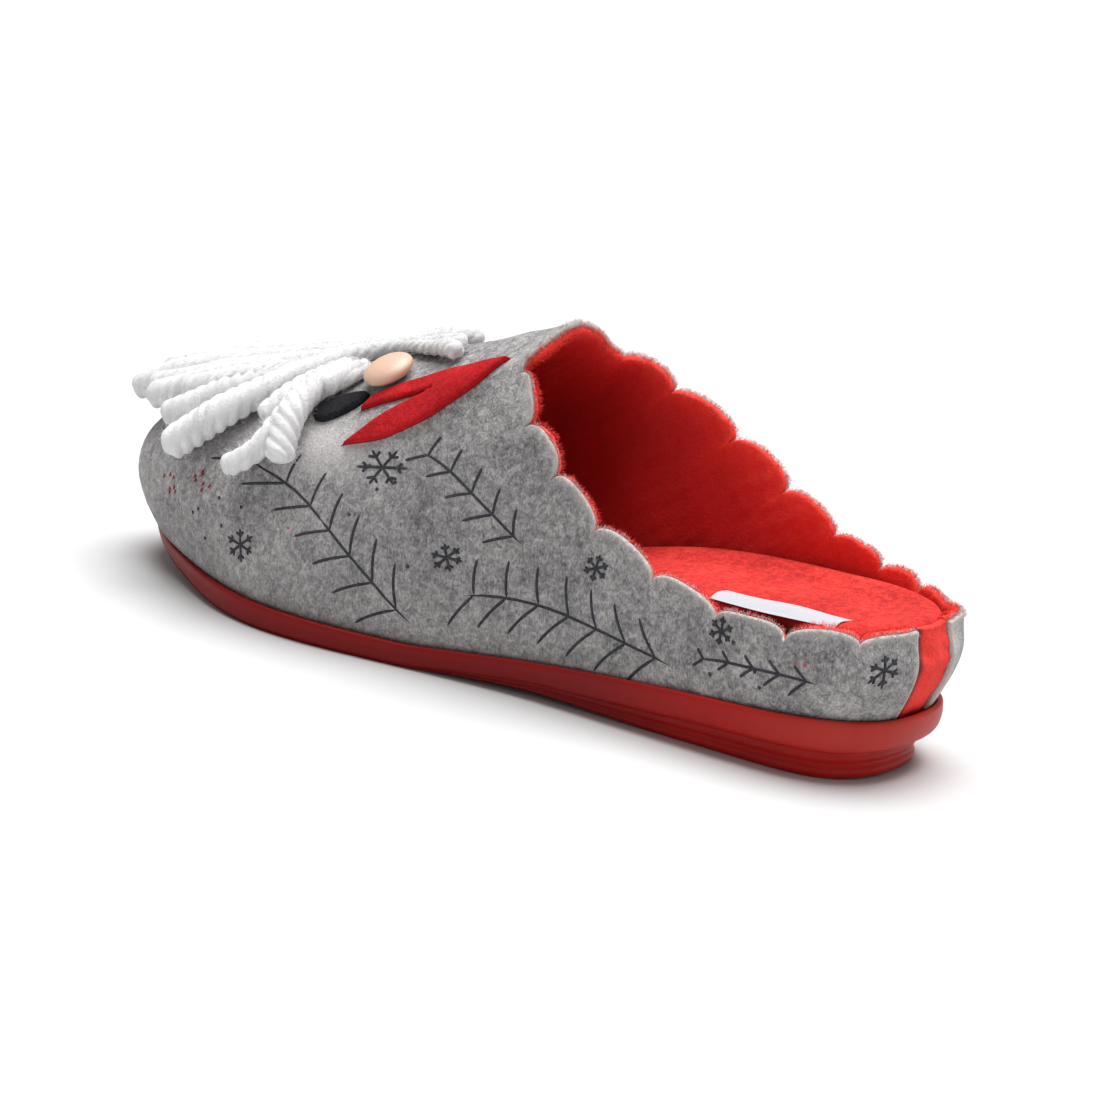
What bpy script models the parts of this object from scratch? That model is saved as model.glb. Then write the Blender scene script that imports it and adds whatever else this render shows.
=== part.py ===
"""House slipper for the left foot: felt mule on a rubber sole, with felt, yarn and bead trims.

Lengths are in millimetres in the shoe's own frame while the forms are worked out:
X to the right (inner side of the foot), Y from heel to toe, Z up from the floor.
The meshes are written in metres, with the middle of the bounding box's bottom at the origin.
"""
import math

import bpy
import numpy as np

for old in list(bpy.data.objects):
    bpy.data.objects.remove(old, do_unlink=True)

# Main sizes
SOLE_LENGTH = 255.5
BALL_WIDTH = 86.0
INSTEP_HEIGHT = 93.8
HEEL_WALL_TOP = 41.5
FOOTBED_HEEL = 42.0
WALL = 3.2
GAP = 0.35
LIP_HEIGHT = 1.2
LIP_WIDTH = 1.6
LIP_DRAFT = 0.2
FELT_INSET = 2.7
TOE_APEX_X = 5.5

# Sole outline: share of the length, then half widths as shares of the ball width
OUTLINE_COLUMNS = ("along", "outer", "inner")
OUTLINE = np.array([
    (0.010, 0.172, 0.172),
    (0.029, 0.258, 0.258),
    (0.061, 0.325, 0.325),
    (0.100, 0.358, 0.358),
    (0.152, 0.370, 0.369),
    (0.220, 0.374, 0.362),
    (0.300, 0.378, 0.342),
    (0.400, 0.385, 0.313),
    (0.500, 0.429, 0.334),
    (0.600, 0.491, 0.401),
    (0.680, 0.524, 0.468),
    (0.750, 0.507, 0.468),
    (0.820, 0.436, 0.429),
    (0.880, 0.346, 0.396),
    (0.930, 0.258, 0.336),
    (0.968, 0.160, 0.256),
    (0.990, 0.066, 0.166),
])

# Sole heights: top edge, underside, height of the stepped lower heel, how far it steps in
SOLE_COLUMNS = ("along", "top", "under", "lower", "step")
SOLE = np.array([
    (0.00, 17.6, 0.6, 8.0, 5.6),
    (0.05, 17.4, 0.0, 7.9, 5.6),
    (0.15, 15.9, 0.0, 7.2, 5.6),
    (0.23, 14.5, 0.0, 6.2, 5.2),
    (0.30, 13.0, 0.7, 4.6, 4.2),
    (0.40, 10.2, 1.8, 2.4, 2.6),
    (0.48, 8.2, 1.2, 1.2, 1.6),
    (0.55, 7.0, 0.0, 0.8, 1.2),
    (0.71, 8.2, 0.0, 0.8, 1.2),
    (0.78, 9.3, 0.8, 0.8, 1.2),
    (0.85, 10.3, 2.6, 0.8, 1.2),
    (0.92, 11.4, 4.9, 0.8, 1.2),
    (1.00, 14.0, 8.6, 0.8, 1.2),
])

# Side of the sole: shares of the lower heel's height with the inset beyond its step
LOWER_COLUMNS = ("height", "inset")
LOWER_PROFILE = ((0.00, 1.5), (0.08, 0.4), (0.28, 0.0), (0.45, 0.8), (0.53, 0.8), (0.70, 0.0), (0.92, 0.4))
# and shares of the band's height with shares of the step
BAND_COLUMNS = ("height", "of_step", "inset")
BAND_PROFILE = ((0.00, 0.80, 0.2), (0.05, 0.42, 0.2), (0.24, 0.06, 0.4), (0.58, 0.0, 0.0), (0.90, 0.0, 0.2),
                (1.00, 0.0, 0.6))

# share of the ribs' depth that stays where the lower heel fades out
RIB_SHARE = 0.35

# Top of the footbed above the floor, and how far its edge keeps in from the sole's outline
FOOTBED_INSET = FELT_INSET + WALL + 0.8
FOOTBED_DRAFT = 0.2
FOOTBED_COLUMNS = ("along", "height", "edge")
FOOTBED = np.array([
    (0.000, FOOTBED_HEEL, 3.1),
    (0.012, FOOTBED_HEEL, 3.3),
    (0.055, FOOTBED_HEEL, 4.8),
    (0.100, FOOTBED_HEEL, 5.6),
    (0.160, 41.6, FOOTBED_INSET),
    (0.250, 40.6, FOOTBED_INSET),
    (0.320, 38.6, FOOTBED_INSET),
    (0.380, 35.2, FOOTBED_INSET),
    (0.440, 30.8, FOOTBED_INSET),
    (0.520, 24.0, FOOTBED_INSET),
    (0.600, 18.0, FOOTBED_INSET),
    (0.680, 15.4, FOOTBED_INSET),
    (0.800, 15.8, FOOTBED_INSET),
    (0.920, 18.0, FOOTBED_INSET),
    (1.000, 20.5, FOOTBED_INSET),
])
# Edge of the footbed: drop below its top with the inset from its own edge, then the dished middle
FOOTBED_EDGE = ((3.4, 0.2), (1.4, 0.5), (0.35, 1.8), (0.0, 4.2), (0.5, 9.0), (1.1, 15.0))

# Sections of the upper, one row for each lobe of the scalloped collar and for the toe:
# where the section leaves the sole, the point of the collar it climbs to, the handles of its curve
# (rise and bulge at the sole, reach and drop at the collar) and the notch after the lobe.
UPPER_COLUMNS = ("foot", "x", "y", "z", "rise", "bulge", "reach", "drop", "notch")
UPPER_OUTER = (
    (0.0, 0.0, -1.2, HEEL_WALL_TOP, 0.75, 9.5, 0.0, 0.30, 0.0),
    (5.0, -18.6, 2.4, 41.4, 0.72, 9.0, 0.0, 0.30, 2.4),
    (18.0, -28.2, 16.8, 40.6, 0.60, 6.0, 0.15, 0.34, 4.8),
    (39.0, -30.8, 38.0, 39.6, 0.48, 3.2, 0.3, 0.36, 4.6),
    (62.0, -30.4, 57.5, 42.0, 0.38, 1.0, 0.45, 0.36, 4.8),
    (88.0, -30.4, 77.0, 48.6, 0.40, 1.2, 0.5, 0.36, 5.2),
    (114.0, -30.2, 93.5, 58.8, 0.42, 1.6, 0.52, 0.36, 5.4),
    (138.0, -28.6, 105.0, 68.8, 0.44, 2.2, 0.54, 0.36, 5.4),
    (160.0, -24.8, 115.4, 80.6, 0.46, 2.8, 0.56, 0.36, 4.0),
    (184.0, -20.0, 120.2, 89.4, 0.48, 3.6, 0.58, 0.36, 0.0),
    (222.0, -10.6, 120.6, 93.2, 0.48, 21.0, 0.60, 0.40, 0.0),
)
UPPER_TOE = ((SOLE_LENGTH, 0.0, 119.6, INSTEP_HEIGHT, 0.44, 30.0, 0.62, 0.42, 0.0),)
UPPER_INNER = (
    (228.0, 10.6, 118.8, 91.8, 0.48, 21.0, 0.60, 0.40, 0.0),
    (192.0, 18.2, 118.6, 87.6, 0.48, 3.2, 0.58, 0.36, 4.0),
    (165.0, 24.6, 108.6, 83.4, 0.46, 2.4, 0.56, 0.36, 5.0),
    (137.0, 27.2, 88.0, 75.0, 0.44, 1.8, 0.54, 0.36, 5.2),
    (108.0, 28.2, 70.7, 65.0, 0.42, 1.4, 0.52, 0.36, 5.2),
    (82.0, 29.0, 54.0, 55.4, 0.40, 1.2, 0.5, 0.36, 5.0),
    (60.0, 29.5, 38.5, 48.4, 0.38, 1.0, 0.45, 0.36, 5.0),
    (40.0, 29.9, 26.0, 44.2, 0.48, 3.2, 0.3, 0.36, 4.6),
    (18.0, 27.0, 13.8, 42.2, 0.60, 6.0, 0.15, 0.34, 2.4),
    (5.0, 18.6, 2.4, 41.6, 0.72, 9.0, 0.0, 0.30, 0.0),
)
UPPER_ROWS = UPPER_OUTER + UPPER_TOE + UPPER_INNER + UPPER_OUTER[:1]
TOE_ROW = len(UPPER_OUTER)
LAST_ROW = len(UPPER_ROWS) - 1
# the wide lobe over the instep spans the rows between these two notches
THROAT_FROM = TOE_ROW - 2.5
THROAT_TO = TOE_ROW + 2.5
LOBE_ROUNDNESS = 2.3
# share of the climb over which the wall's thickness turns from level to square with its face
LEVEL_FOOT = 0.06

# Red strip that shows between the ends of the felt at the back of the heel
STRIP_OUTER_EDGE = -9.4
STRIP_INNER_EDGE = 6.8
STRIP_SINK = 1.1
STRIP_THICKNESS = 1.8

# Felt trims on the vamp, in places of the upper: row round the collar and share of the climb
TRIM_THICKNESS = 1.4
SWALLOWTAIL_COLUMNS = ("row", "climb")
SWALLOWTAIL_UPPER_EDGE = ((9.29, 0.950), (9.60, 0.880), (9.73, 0.795), (9.71, 0.720), (9.52, 0.649))
SWALLOWTAIL_LOWER_EDGE = ((9.21, 0.948), (8.84, 0.872), (8.68, 0.752), (8.78, 0.630), (9.13, 0.533))
SWALLOWTAIL_CROTCH = (9.29, 0.795)
PATCH_MIDDLE = (9.75, 0.637)
PATCH_LONG_AXIS = (0.050, 0.060)
PATCH_SHORT_AXIS = (0.140, 0.008)

# Bead: a flattened ball that sits on the felt beside the upper point of the red trim
BEAD_PLACE = (10.04, 0.754)
BEAD_RADIUS = 7.2
BEAD_HALF_HEIGHT = 3.0

# Yarn fringe: each strand from its root, drawn towards its bend, to its end; how far the end floats;
# its thickness. The last five are the short ends on the other side of the knot.
STRAND_COLUMNS = ("root_row", "root_climb", "bend_row", "bend_climb", "end_row", "end_climb",
                  "float", "radius")
STRANDS = (
    (10.47, 0.712, 9.90, 0.632, 9.30, 0.412, 1.4, 3.9),
    (10.46, 0.738, 10.22, 0.700, 9.95, 0.630, 0.4, 2.8),
    (10.58, 0.715, 10.10, 0.640, 9.58, 0.500, 0.2, 3.2),
    (10.78, 0.720, 9.35, 0.520, 9.66, 0.330, 0.2, 3.0),
    (10.84, 0.750, 9.92, 0.500, 10.16, 0.300, 0.4, 4.4),
    (10.88, 0.770, 10.25, 0.540, 10.44, 0.362, 2.0, 3.5),
    (10.90, 0.785, 10.42, 0.560, 10.60, 0.345, 4.5, 3.7),
    (10.94, 0.790, 10.62, 0.560, 10.82, 0.312, 5.4, 3.9),
    (10.98, 0.795, 10.85, 0.560, 10.98, 0.325, 5.4, 3.8),
    (11.03, 0.795, 11.08, 0.560, 11.16, 0.340, 5.2, 3.8),
    (11.08, 0.790, 11.30, 0.560, 11.36, 0.350, 4.4, 3.7),
    (11.12, 0.780, 11.55, 0.550, 11.58, 0.365, 3.0, 3.6),
    (11.16, 0.765, 11.80, 0.540, 11.85, 0.340, 1.0, 4.0),
    (11.20, 0.745, 12.10, 0.540, 12.15, 0.370, 0.4, 3.9),
    (11.22, 0.730, 12.40, 0.580, 12.55, 0.430, 0.4, 3.7),
    (10.92, 0.775, 10.40, 0.850, 10.02, 0.868, 0.0, 2.4),
    (10.96, 0.775, 10.62, 0.850, 10.34, 0.874, 0.0, 2.4),
    (11.00, 0.775, 10.86, 0.830, 10.66, 0.850, 0.0, 2.4),
    (11.04, 0.775, 11.08, 0.810, 11.04, 0.826, 0.0, 2.4),
    (11.08, 0.775, 11.34, 0.810, 11.52, 0.822, 0.0, 2.4),
)
STRAND_SPREAD = 1.5
STRAND_CLEARANCE = 0.6
STRAND_SWELL = 0.7
STRAND_TAPER = 6.0
STRAND_END = 0.55
KNOT_PLACE = (10.92, 0.765)
KNOT_RADII = (11.5, 14.0, 1.8)
KNOT_CLEARANCE = 0.7

# Steps of the meshes
SOLE_STEPS = 44
FOOTBED_STEPS = 36
WALL_STEPS = 8
LOBE_STEPS = 6
THROAT_STEPS = 34
TRIM_STEPS = 8
STRAND_STEPS = 8
STRAND_SIDES = 7

MM = 0.001


def monotone_table(at, knots, values):
    """Smooth curve through a table's rows that never overshoots them, straight on beyond its ends."""
    knots = np.asarray(knots, float)
    values = np.asarray(values, float)
    at = np.clip(np.asarray(at, float), knots[0], knots[-1])
    step = np.diff(knots)
    rate = np.diff(values) / step
    slope = np.zeros(len(knots))
    same = rate[:-1] * rate[1:] > 0
    weight_a = 2 * step[1:] + step[:-1]
    weight_b = step[1:] + 2 * step[:-1]
    safe_a = np.where(same, rate[:-1], 1.0)
    safe_b = np.where(same, rate[1:], 1.0)
    slope[1:-1] = np.where(same, (weight_a + weight_b) / (weight_a / safe_a + weight_b / safe_b), 0.0)
    slope[0] = rate[0]
    slope[-1] = rate[-1]
    i = np.clip(np.searchsorted(knots, at, side="right") - 1, 0, len(step) - 1)
    p = (at - knots[i]) / step[i]
    return (values[i] * (1 + 2 * p) * (1 - p) ** 2 + values[i + 1] * p * p * (3 - 2 * p)
            + step[i] * p * (1 - p) * (slope[i] * (1 - p) - slope[i + 1] * p))


def closed_spline(points, at):
    """Closed curve through the points, its slope and bend both continuous; at runs from 0 to 1."""
    count = len(points)
    ahead = np.roll(points, -1, axis=0)
    step = np.linalg.norm(ahead - points, axis=1)
    knots = np.concatenate([[0.0], np.cumsum(step)])
    rate = (ahead - points) / step[:, None]
    before = np.roll(step, 1)
    system = np.zeros((count, count))
    row = np.arange(count)
    system[row, (row - 1) % count] = step
    system[row, row] = 2 * (before + step)
    system[row, (row + 1) % count] = before
    slope = np.linalg.solve(system, 3 * (step[:, None] * np.roll(rate, 1, axis=0) + before[:, None] * rate))
    place = np.mod(np.asarray(at, float), 1.0) * knots[-1]
    i = np.clip(np.searchsorted(knots, place, side="right") - 1, 0, count - 1)
    p = ((place - knots[i]) / step[i])[..., None]
    h = step[i][..., None]
    j = (i + 1) % count
    return (points[i] * (1 + 2 * p) * (1 - p) ** 2 + points[j] * p * p * (3 - 2 * p)
            + h * p * (1 - p) * (slope[i] * (1 - p) - slope[j] * p))


def outline_points():
    """The rows of the outline table as one ring: heel, outer side, toe, inner side."""
    along = OUTLINE[:, 0] * SOLE_LENGTH
    outer = np.stack([-OUTLINE[:, 1] * BALL_WIDTH, along], axis=1)
    inner = np.stack([OUTLINE[:, 2] * BALL_WIDTH, along], axis=1)
    heel = np.array([[0.0, 0.0]])
    toe = np.array([[TOE_APEX_X, SOLE_LENGTH]])
    return np.concatenate([heel, outer, toe, inner[::-1]])


RING = outline_points()
DENSE = np.linspace(0.0, 1.0, 4001)
DENSE_POINTS = closed_spline(RING, DENSE)
TOE_AT = DENSE[np.argmax(DENSE_POINTS[:, 1])]


def outline(at, inset):
    """Plan of the sole's edge, moved inward by the inset along its own normal."""
    reach = 1e-4
    place = closed_spline(RING, at)
    tangent = closed_spline(RING, at + reach) - closed_spline(RING, at - reach)
    tangent /= np.linalg.norm(tangent, axis=-1, keepdims=True)
    inward = np.stack([tangent[..., 1], -tangent[..., 0]], axis=-1)
    return place + inward * np.asarray(inset, float)[..., None]


def outline_at(y, side):
    """Place along the outline at a distance from the heel, on the outer or the inner side."""
    forward = DENSE <= TOE_AT
    if side < 0:
        return np.interp(y, DENSE_POINTS[forward, 1], DENSE[forward])
    return np.interp(y, DENSE_POINTS[~forward, 1][::-1], DENSE[~forward][::-1])


def sole_column(name, y):
    """One column of the sole's table at a distance from the heel."""
    return monotone_table(np.asarray(y) / SOLE_LENGTH, SOLE[:, 0], SOLE[:, SOLE_COLUMNS.index(name)])


def seat_height(y):
    """Top of the sole inside its lip, where the felt and the footbed stand."""
    return sole_column("top", y) - LIP_HEIGHT


def upper_column(name, row):
    """One column of the upper's table at a place between its rows."""
    values = [line[UPPER_COLUMNS.index(name)] for line in UPPER_ROWS]
    return monotone_table(row, np.arange(len(values)), values)


def foot_place(row):
    """Place along the sole's outline that a section of the upper starts from."""
    knots = []
    for index, line in enumerate(UPPER_ROWS):
        if index == 0:
            knots.append(0.0)
        elif index == TOE_ROW:
            knots.append(TOE_AT)
        elif index == LAST_ROW:
            knots.append(1.0)
        else:
            knots.append(float(outline_at(line[0], -1 if index < TOE_ROW else 1)))
    return monotone_table(row, np.arange(len(knots)), knots)


def section(row, climb):
    """Outer face of the upper: a curve that leaves the sole upright and climbs to the collar."""
    row = np.asarray(row, float)
    climb = np.asarray(climb, float)[..., None]
    place = foot_place(row)
    plan = outline(place, np.full(row.shape, FELT_INSET))
    outward = plan - outline(place, np.full(row.shape, FELT_INSET + 1.0))
    foot = np.concatenate([plan, (seat_height(plan[..., 1]) + GAP)[..., None]], axis=-1)
    collar = np.stack([upper_column(axis, row) for axis in ("x", "y", "z")], axis=-1)
    span = collar - foot
    flat = span * np.array([1.0, 1.0, 0.0])
    up = span * np.array([0.0, 0.0, 1.0])
    lean = np.concatenate([outward, np.zeros(row.shape + (1,))], axis=-1)
    low = foot + upper_column("rise", row)[..., None] * up + upper_column("bulge", row)[..., None] * lean
    high = collar - upper_column("reach", row)[..., None] * flat - upper_column("drop", row)[..., None] * up
    return (foot * (1 - climb) ** 3 + 3 * low * climb * (1 - climb) ** 2
            + 3 * high * climb ** 2 * (1 - climb) + collar * climb ** 3)


def section_normal(row, climb):
    """Outward direction of the upper's outer face."""
    reach = 1e-3
    around = section(row + reach, climb) - section(row - reach, climb)
    upward = section(row, np.minimum(climb + reach, 1.0)) - section(row, np.maximum(climb - reach, 0.0))
    normal = np.cross(upward, around)
    return normal / np.linalg.norm(normal, axis=-1, keepdims=True)


def on_upper(row, climb, lift):
    """A point lifted off the upper's outer face; the foot of the wall stays level."""
    normal = section_normal(row, climb)
    level = normal * np.array([1.0, 1.0, 0.0])
    level /= np.linalg.norm(level, axis=-1, keepdims=True)
    blend = np.clip(climb / LEVEL_FOOT, 0.0, 1.0)[..., None]
    return section(row, climb) + (normal * blend + level * (1 - blend)) * np.asarray(lift, float)[..., None]


def notch_depth(row):
    """How far the collar's edge lies below the tops of its lobes: round lobes, sharp notches."""
    row = np.asarray(row, float)
    notches = np.array([line[-1] for line in UPPER_ROWS])
    nearest = np.rint(row)
    in_throat = (row > THROAT_FROM) & (row < THROAT_TO)
    share = np.where(in_throat, (row - TOE_ROW) / (THROAT_TO - TOE_ROW), 2 * (row - nearest))
    left = np.where(in_throat, TOE_ROW - 3, nearest - 1).astype(int)
    right = np.where(in_throat, TOE_ROW + 2, nearest).astype(int)
    depth = np.where(share < 0, notches[np.clip(left, 0, LAST_ROW)], notches[np.clip(right, 0, LAST_ROW)])
    fall = 1 - (1 - np.clip(np.abs(share), 0, 1) ** LOBE_ROUNDNESS) ** (1 / LOBE_ROUNDNESS)
    return depth * fall


def collar_climb(row):
    """Share of each section's curve that is left below the scalloped edge."""
    steps = np.linspace(0.0, 1.0, 41)
    path = section(np.repeat(row[:, None], len(steps), axis=1), np.repeat(steps[None], len(row), axis=0))
    lengths = np.linalg.norm(np.diff(path, axis=1), axis=2)
    run = np.concatenate([np.zeros((len(row), 1)), np.cumsum(lengths, axis=1)], axis=1)
    wanted = run[:, -1] - notch_depth(row)
    return np.array([np.interp(length, line, steps) for length, line in zip(wanted, run)])


def collar_rows(first, last, per_lobe, in_throat):
    """Places round the collar, closer together towards the notches."""
    places = [first]
    for low, high, count in lobe_spans(per_lobe, in_throat):
        share = np.sin(np.linspace(-math.pi / 2, math.pi / 2, count + 1))
        places.extend((low + high) / 2 + share * (high - low) / 2)
    places = np.unique(np.round(np.append(places, last), 5))
    return places[(places >= first) & (places <= last)]


def lobe_spans(per_lobe, in_throat):
    """First and last place of each lobe, with the number of steps it gets."""
    spans = [(lobe - 0.5, lobe + 0.5, per_lobe) for lobe in range(0, TOE_ROW - 2)]
    spans.append((THROAT_FROM, THROAT_TO, in_throat))
    spans.extend((lobe - 0.5, lobe + 0.5, per_lobe) for lobe in range(TOE_ROW + 3, LAST_ROW + 1))
    return spans


def strip_rows(gap):
    """Places round the collar of the strip's two edges, each moved in by a gap."""
    near = np.linspace(0.0, 1.0, 201)
    outer = np.interp(-STRIP_OUTER_EDGE - gap, -upper_column("x", near), near)
    inner = LAST_ROW - np.interp(STRIP_INNER_EDGE - gap, upper_column("x", LAST_ROW - near), near)
    return float(outer), float(inner)


def material(name, colour, roughness):
    """A plain surface: colour as red, green, blue from 0 to 255."""
    surface = bpy.data.materials.new(name)
    surface.use_nodes = True
    share = np.array(colour) / 255.0
    linear = np.where(share <= 0.04045, share / 12.92, ((share + 0.055) / 1.055) ** 2.4)
    shader = surface.node_tree.nodes["Principled BSDF"]
    shader.inputs["Base Color"].default_value = (*linear, 1.0)
    shader.inputs["Roughness"].default_value = roughness
    shader.inputs["Metallic"].default_value = 0.0
    return surface


def add_solid(name, vertices, faces, surface):
    """One named object from vertices in millimetres, all its faces turned outward."""
    mesh = bpy.data.meshes.new(name)
    mesh.from_pydata([tuple(v) for v in np.asarray(vertices, float) * MM], [], [tuple(f) for f in faces])
    mesh.validate()
    piece = bpy.data.objects.new(name, mesh)
    bpy.context.scene.collection.objects.link(piece)
    mesh.materials.append(surface)
    if signed_volume(mesh) < 0:
        mesh.flip_normals()
    mesh.polygons.foreach_set("use_smooth", [True] * len(mesh.polygons))
    mesh.update()
    return piece


def signed_volume(mesh):
    """Six times the volume that the faces enclose, negative when they point inward."""
    total = 0.0
    for face in mesh.polygons:
        corners = [mesh.vertices[i].co for i in face.vertices]
        for second, third in zip(corners[1:-1], corners[2:]):
            total += corners[0].dot(second.cross(third))
    return total


def ring_stack(rings):
    """Solid from rings of the same count, each ring joined to the next, both ends closed straight across."""
    count = len(rings[0])
    faces = []
    for level in range(len(rings) - 1):
        base = level * count
        for i in range(count):
            j = (i + 1) % count
            faces.append((base + i, base + j, base + count + j, base + count + i))
    last = (len(rings) - 1) * count
    half = count // 2
    for i in range(half):
        for start, turn in ((0, -1), (last, 1)):
            corners = [start + i, start + i + 1, start + (count - i - 1) % count, start + (count - i) % count]
            ring = []
            for corner in corners:
                if corner not in ring:
                    ring.append(corner)
            faces.append(tuple(ring[::turn]))
    return np.concatenate(rings), faces


def shell(outside, inside):
    """Solid between two grids of the same size, closed along all four edges."""
    rows, columns = outside.shape[:2]
    number = np.arange(rows * columns).reshape(rows, columns)
    other = number + rows * columns
    faces = []
    for i in range(rows - 1):
        for j in range(columns - 1):
            faces.append((number[i, j], number[i + 1, j], number[i + 1, j + 1], number[i, j + 1]))
            faces.append((other[i, j], other[i, j + 1], other[i + 1, j + 1], other[i + 1, j]))
    edge = list(number[0]) + list(number[1:, -1]) + list(number[-1, -2::-1]) + list(number[-2:0:-1, 0])
    back = list(other[0]) + list(other[1:, -1]) + list(other[-1, -2::-1]) + list(other[-2:0:-1, 0])
    for k in range(len(edge)):
        n = (k + 1) % len(edge)
        faces.append((edge[k], edge[n], back[n], back[k]))
    vertices = np.concatenate([outside.reshape(-1, 3), inside.reshape(-1, 3)])
    return vertices, [tuple(int(v) for v in face) for face in faces]


def side_places(steps):
    """Places round the outline: heel, steps along the outer side, toe, the same along the inner side."""
    outer = np.linspace(0.0, TOE_AT, steps + 1)
    inner = np.linspace(TOE_AT, 1.0, steps + 1)
    return np.concatenate([outer, inner[1:-1]])


def build_outsole(surface):
    """Stepped rubber sole: ribbed lower heel, band, and a low lip round the seat."""
    at = side_places(SOLE_STEPS)
    edge_y = closed_spline(RING, at)[:, 1]
    under = sole_column("under", edge_y)
    top = sole_column("top", edge_y)
    lower = sole_column("lower", edge_y)
    step = sole_column("step", edge_y)
    ribs = np.maximum(lower / lower.max(), RIB_SHARE)
    rings = []
    for height, inset in LOWER_PROFILE:
        rings.append((under + height * lower, step + inset * ribs))
    for height, of_step, inset in BAND_PROFILE:
        rings.append((under + lower + height * (top - under - lower), step * of_step + inset))
    rings.append((top, np.full(at.shape, LIP_WIDTH)))
    rings.append((top - LIP_HEIGHT, np.full(at.shape, LIP_WIDTH + LIP_DRAFT)))
    levels = []
    for height, inset in rings:
        levels.append(np.concatenate([outline(at, inset), height[:, None]], axis=1))
    vertices, faces = ring_stack(levels)
    return add_solid("outsole", vertices, faces, surface)


def build_upper(surface):
    """Felt wall from the sole to the scalloped collar, open at the top, below and at the back of the heel."""
    first, last = strip_rows(0.0)
    rows = collar_rows(first, last, LOBE_STEPS, THROAT_STEPS)
    top = collar_climb(rows)
    share = np.linspace(0.0, 1.0, WALL_STEPS + 1)
    climb = share[:, None] * top[None]
    grid = np.repeat(rows[None], len(share), axis=0)
    outside = section(grid, climb)
    inside = on_upper(grid, climb, np.full(grid.shape, -WALL))
    inside[0, :, 2] = outside[0, :, 2]
    vertices, faces = shell(outside, inside)
    return add_solid("upper", vertices, faces, surface)


def footbed_column(name, y):
    """One column of the footbed's table at a distance from the heel."""
    return monotone_table(np.asarray(y) / SOLE_LENGTH, FOOTBED[:, 0], FOOTBED[:, FOOTBED_COLUMNS.index(name)])


def build_insole(surface):
    """Padded footbed: a wedge that is thick under the heel, with rounded edges and a dished middle."""
    at = side_places(FOOTBED_STEPS)
    foot = outline(at, np.full(at.shape, FOOTBED_INSET + FOOTBED_DRAFT))
    levels = [np.concatenate([foot, (seat_height(foot[:, 1]) + GAP)[:, None]], axis=1)]
    edge = footbed_column("edge", closed_spline(RING, at)[:, 1])
    for drop, inset in FOOTBED_EDGE:
        plan = outline(at, edge + inset)
        height = footbed_column("height", plan[:, 1]) - drop
        levels.append(np.concatenate([plan, height[:, None]], axis=1))
    vertices, faces = ring_stack(levels)
    return add_solid("insole", vertices, faces, surface)


def build_heel_strip(surface):
    """Red strip sunk between the two ends of the felt at the back of the heel."""
    outer, inner = strip_rows(GAP)
    turn = np.linspace(inner - LAST_ROW, outer, TRIM_STEPS + 1)
    share = np.linspace(0.0, 1.0, TRIM_STEPS - 2)
    grid = np.repeat(turn[None], len(share), axis=0)
    climb = np.repeat(share[:, None], len(turn), axis=1)
    place = np.mod(grid, LAST_ROW)
    outside = on_upper(place, climb, np.full(grid.shape, -STRIP_SINK))
    inside = on_upper(place, climb, np.full(grid.shape, -STRIP_SINK - STRIP_THICKNESS))
    inside[0, :, 2] = outside[0, :, 2]
    vertices, faces = shell(outside, inside)
    return add_solid("heel_strip", vertices, faces, surface)


def trim_solid(name, row, climb, surface):
    """A felt trim that lies on the upper, from a grid of places on it."""
    inside = on_upper(row, climb, np.full(row.shape, GAP))
    outside = on_upper(row, climb, np.full(row.shape, GAP + TRIM_THICKNESS))
    vertices, faces = shell(outside, inside)
    return add_solid(name, vertices, faces, surface)


def edge_curve(points, share):
    """Row and climb along a trim's edge, smooth through its points."""
    points = np.array(points)
    knots = np.linspace(0.0, 1.0, len(points))
    return np.stack([monotone_table(share, knots, column) for column in points.T], axis=-1)


def build_swallowtail(surface):
    """Red felt trim: narrow at the instep, with two points towards the toe and a notch between them."""
    across = np.linspace(0.0, 1.0, TRIM_STEPS + 1)
    along = np.linspace(0.0, 1.0, TRIM_STEPS + 1)
    upper_edge = edge_curve(SWALLOWTAIL_UPPER_EDGE, along)[:, None, :]
    lower_edge = edge_curve(SWALLOWTAIL_LOWER_EDGE, along)[:, None, :]
    a = across[None, :, None]
    ruled = upper_edge * (1 - a) + lower_edge * a
    points = (upper_edge[-1, 0] + lower_edge[-1, 0]) / 2
    pull = (np.array(SWALLOWTAIL_CROTCH) - points) * (1 - np.abs(2 * a - 1))
    place = ruled + pull * (along ** 2)[:, None, None]
    return trim_solid("red_swallowtail", place[..., 0], place[..., 1], surface)


def build_patch(surface):
    """Black felt oval on the side of the vamp: a square grid drawn out into an ellipse."""
    lengthways = np.linspace(-1.0, 1.0, TRIM_STEPS + 1)
    crossways = np.linspace(-1.0, 1.0, TRIM_STEPS - 1)
    u, v = np.meshgrid(lengthways, crossways, indexing="ij")
    long_share = u * np.sqrt(1 - v * v / 2)
    short_share = v * np.sqrt(1 - u * u / 2)
    row = PATCH_MIDDLE[0] + long_share * PATCH_LONG_AXIS[0] + short_share * PATCH_SHORT_AXIS[0]
    climb = PATCH_MIDDLE[1] + long_share * PATCH_LONG_AXIS[1] + short_share * PATCH_SHORT_AXIS[1]
    return trim_solid("black_patch", row, climb, surface)


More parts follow.
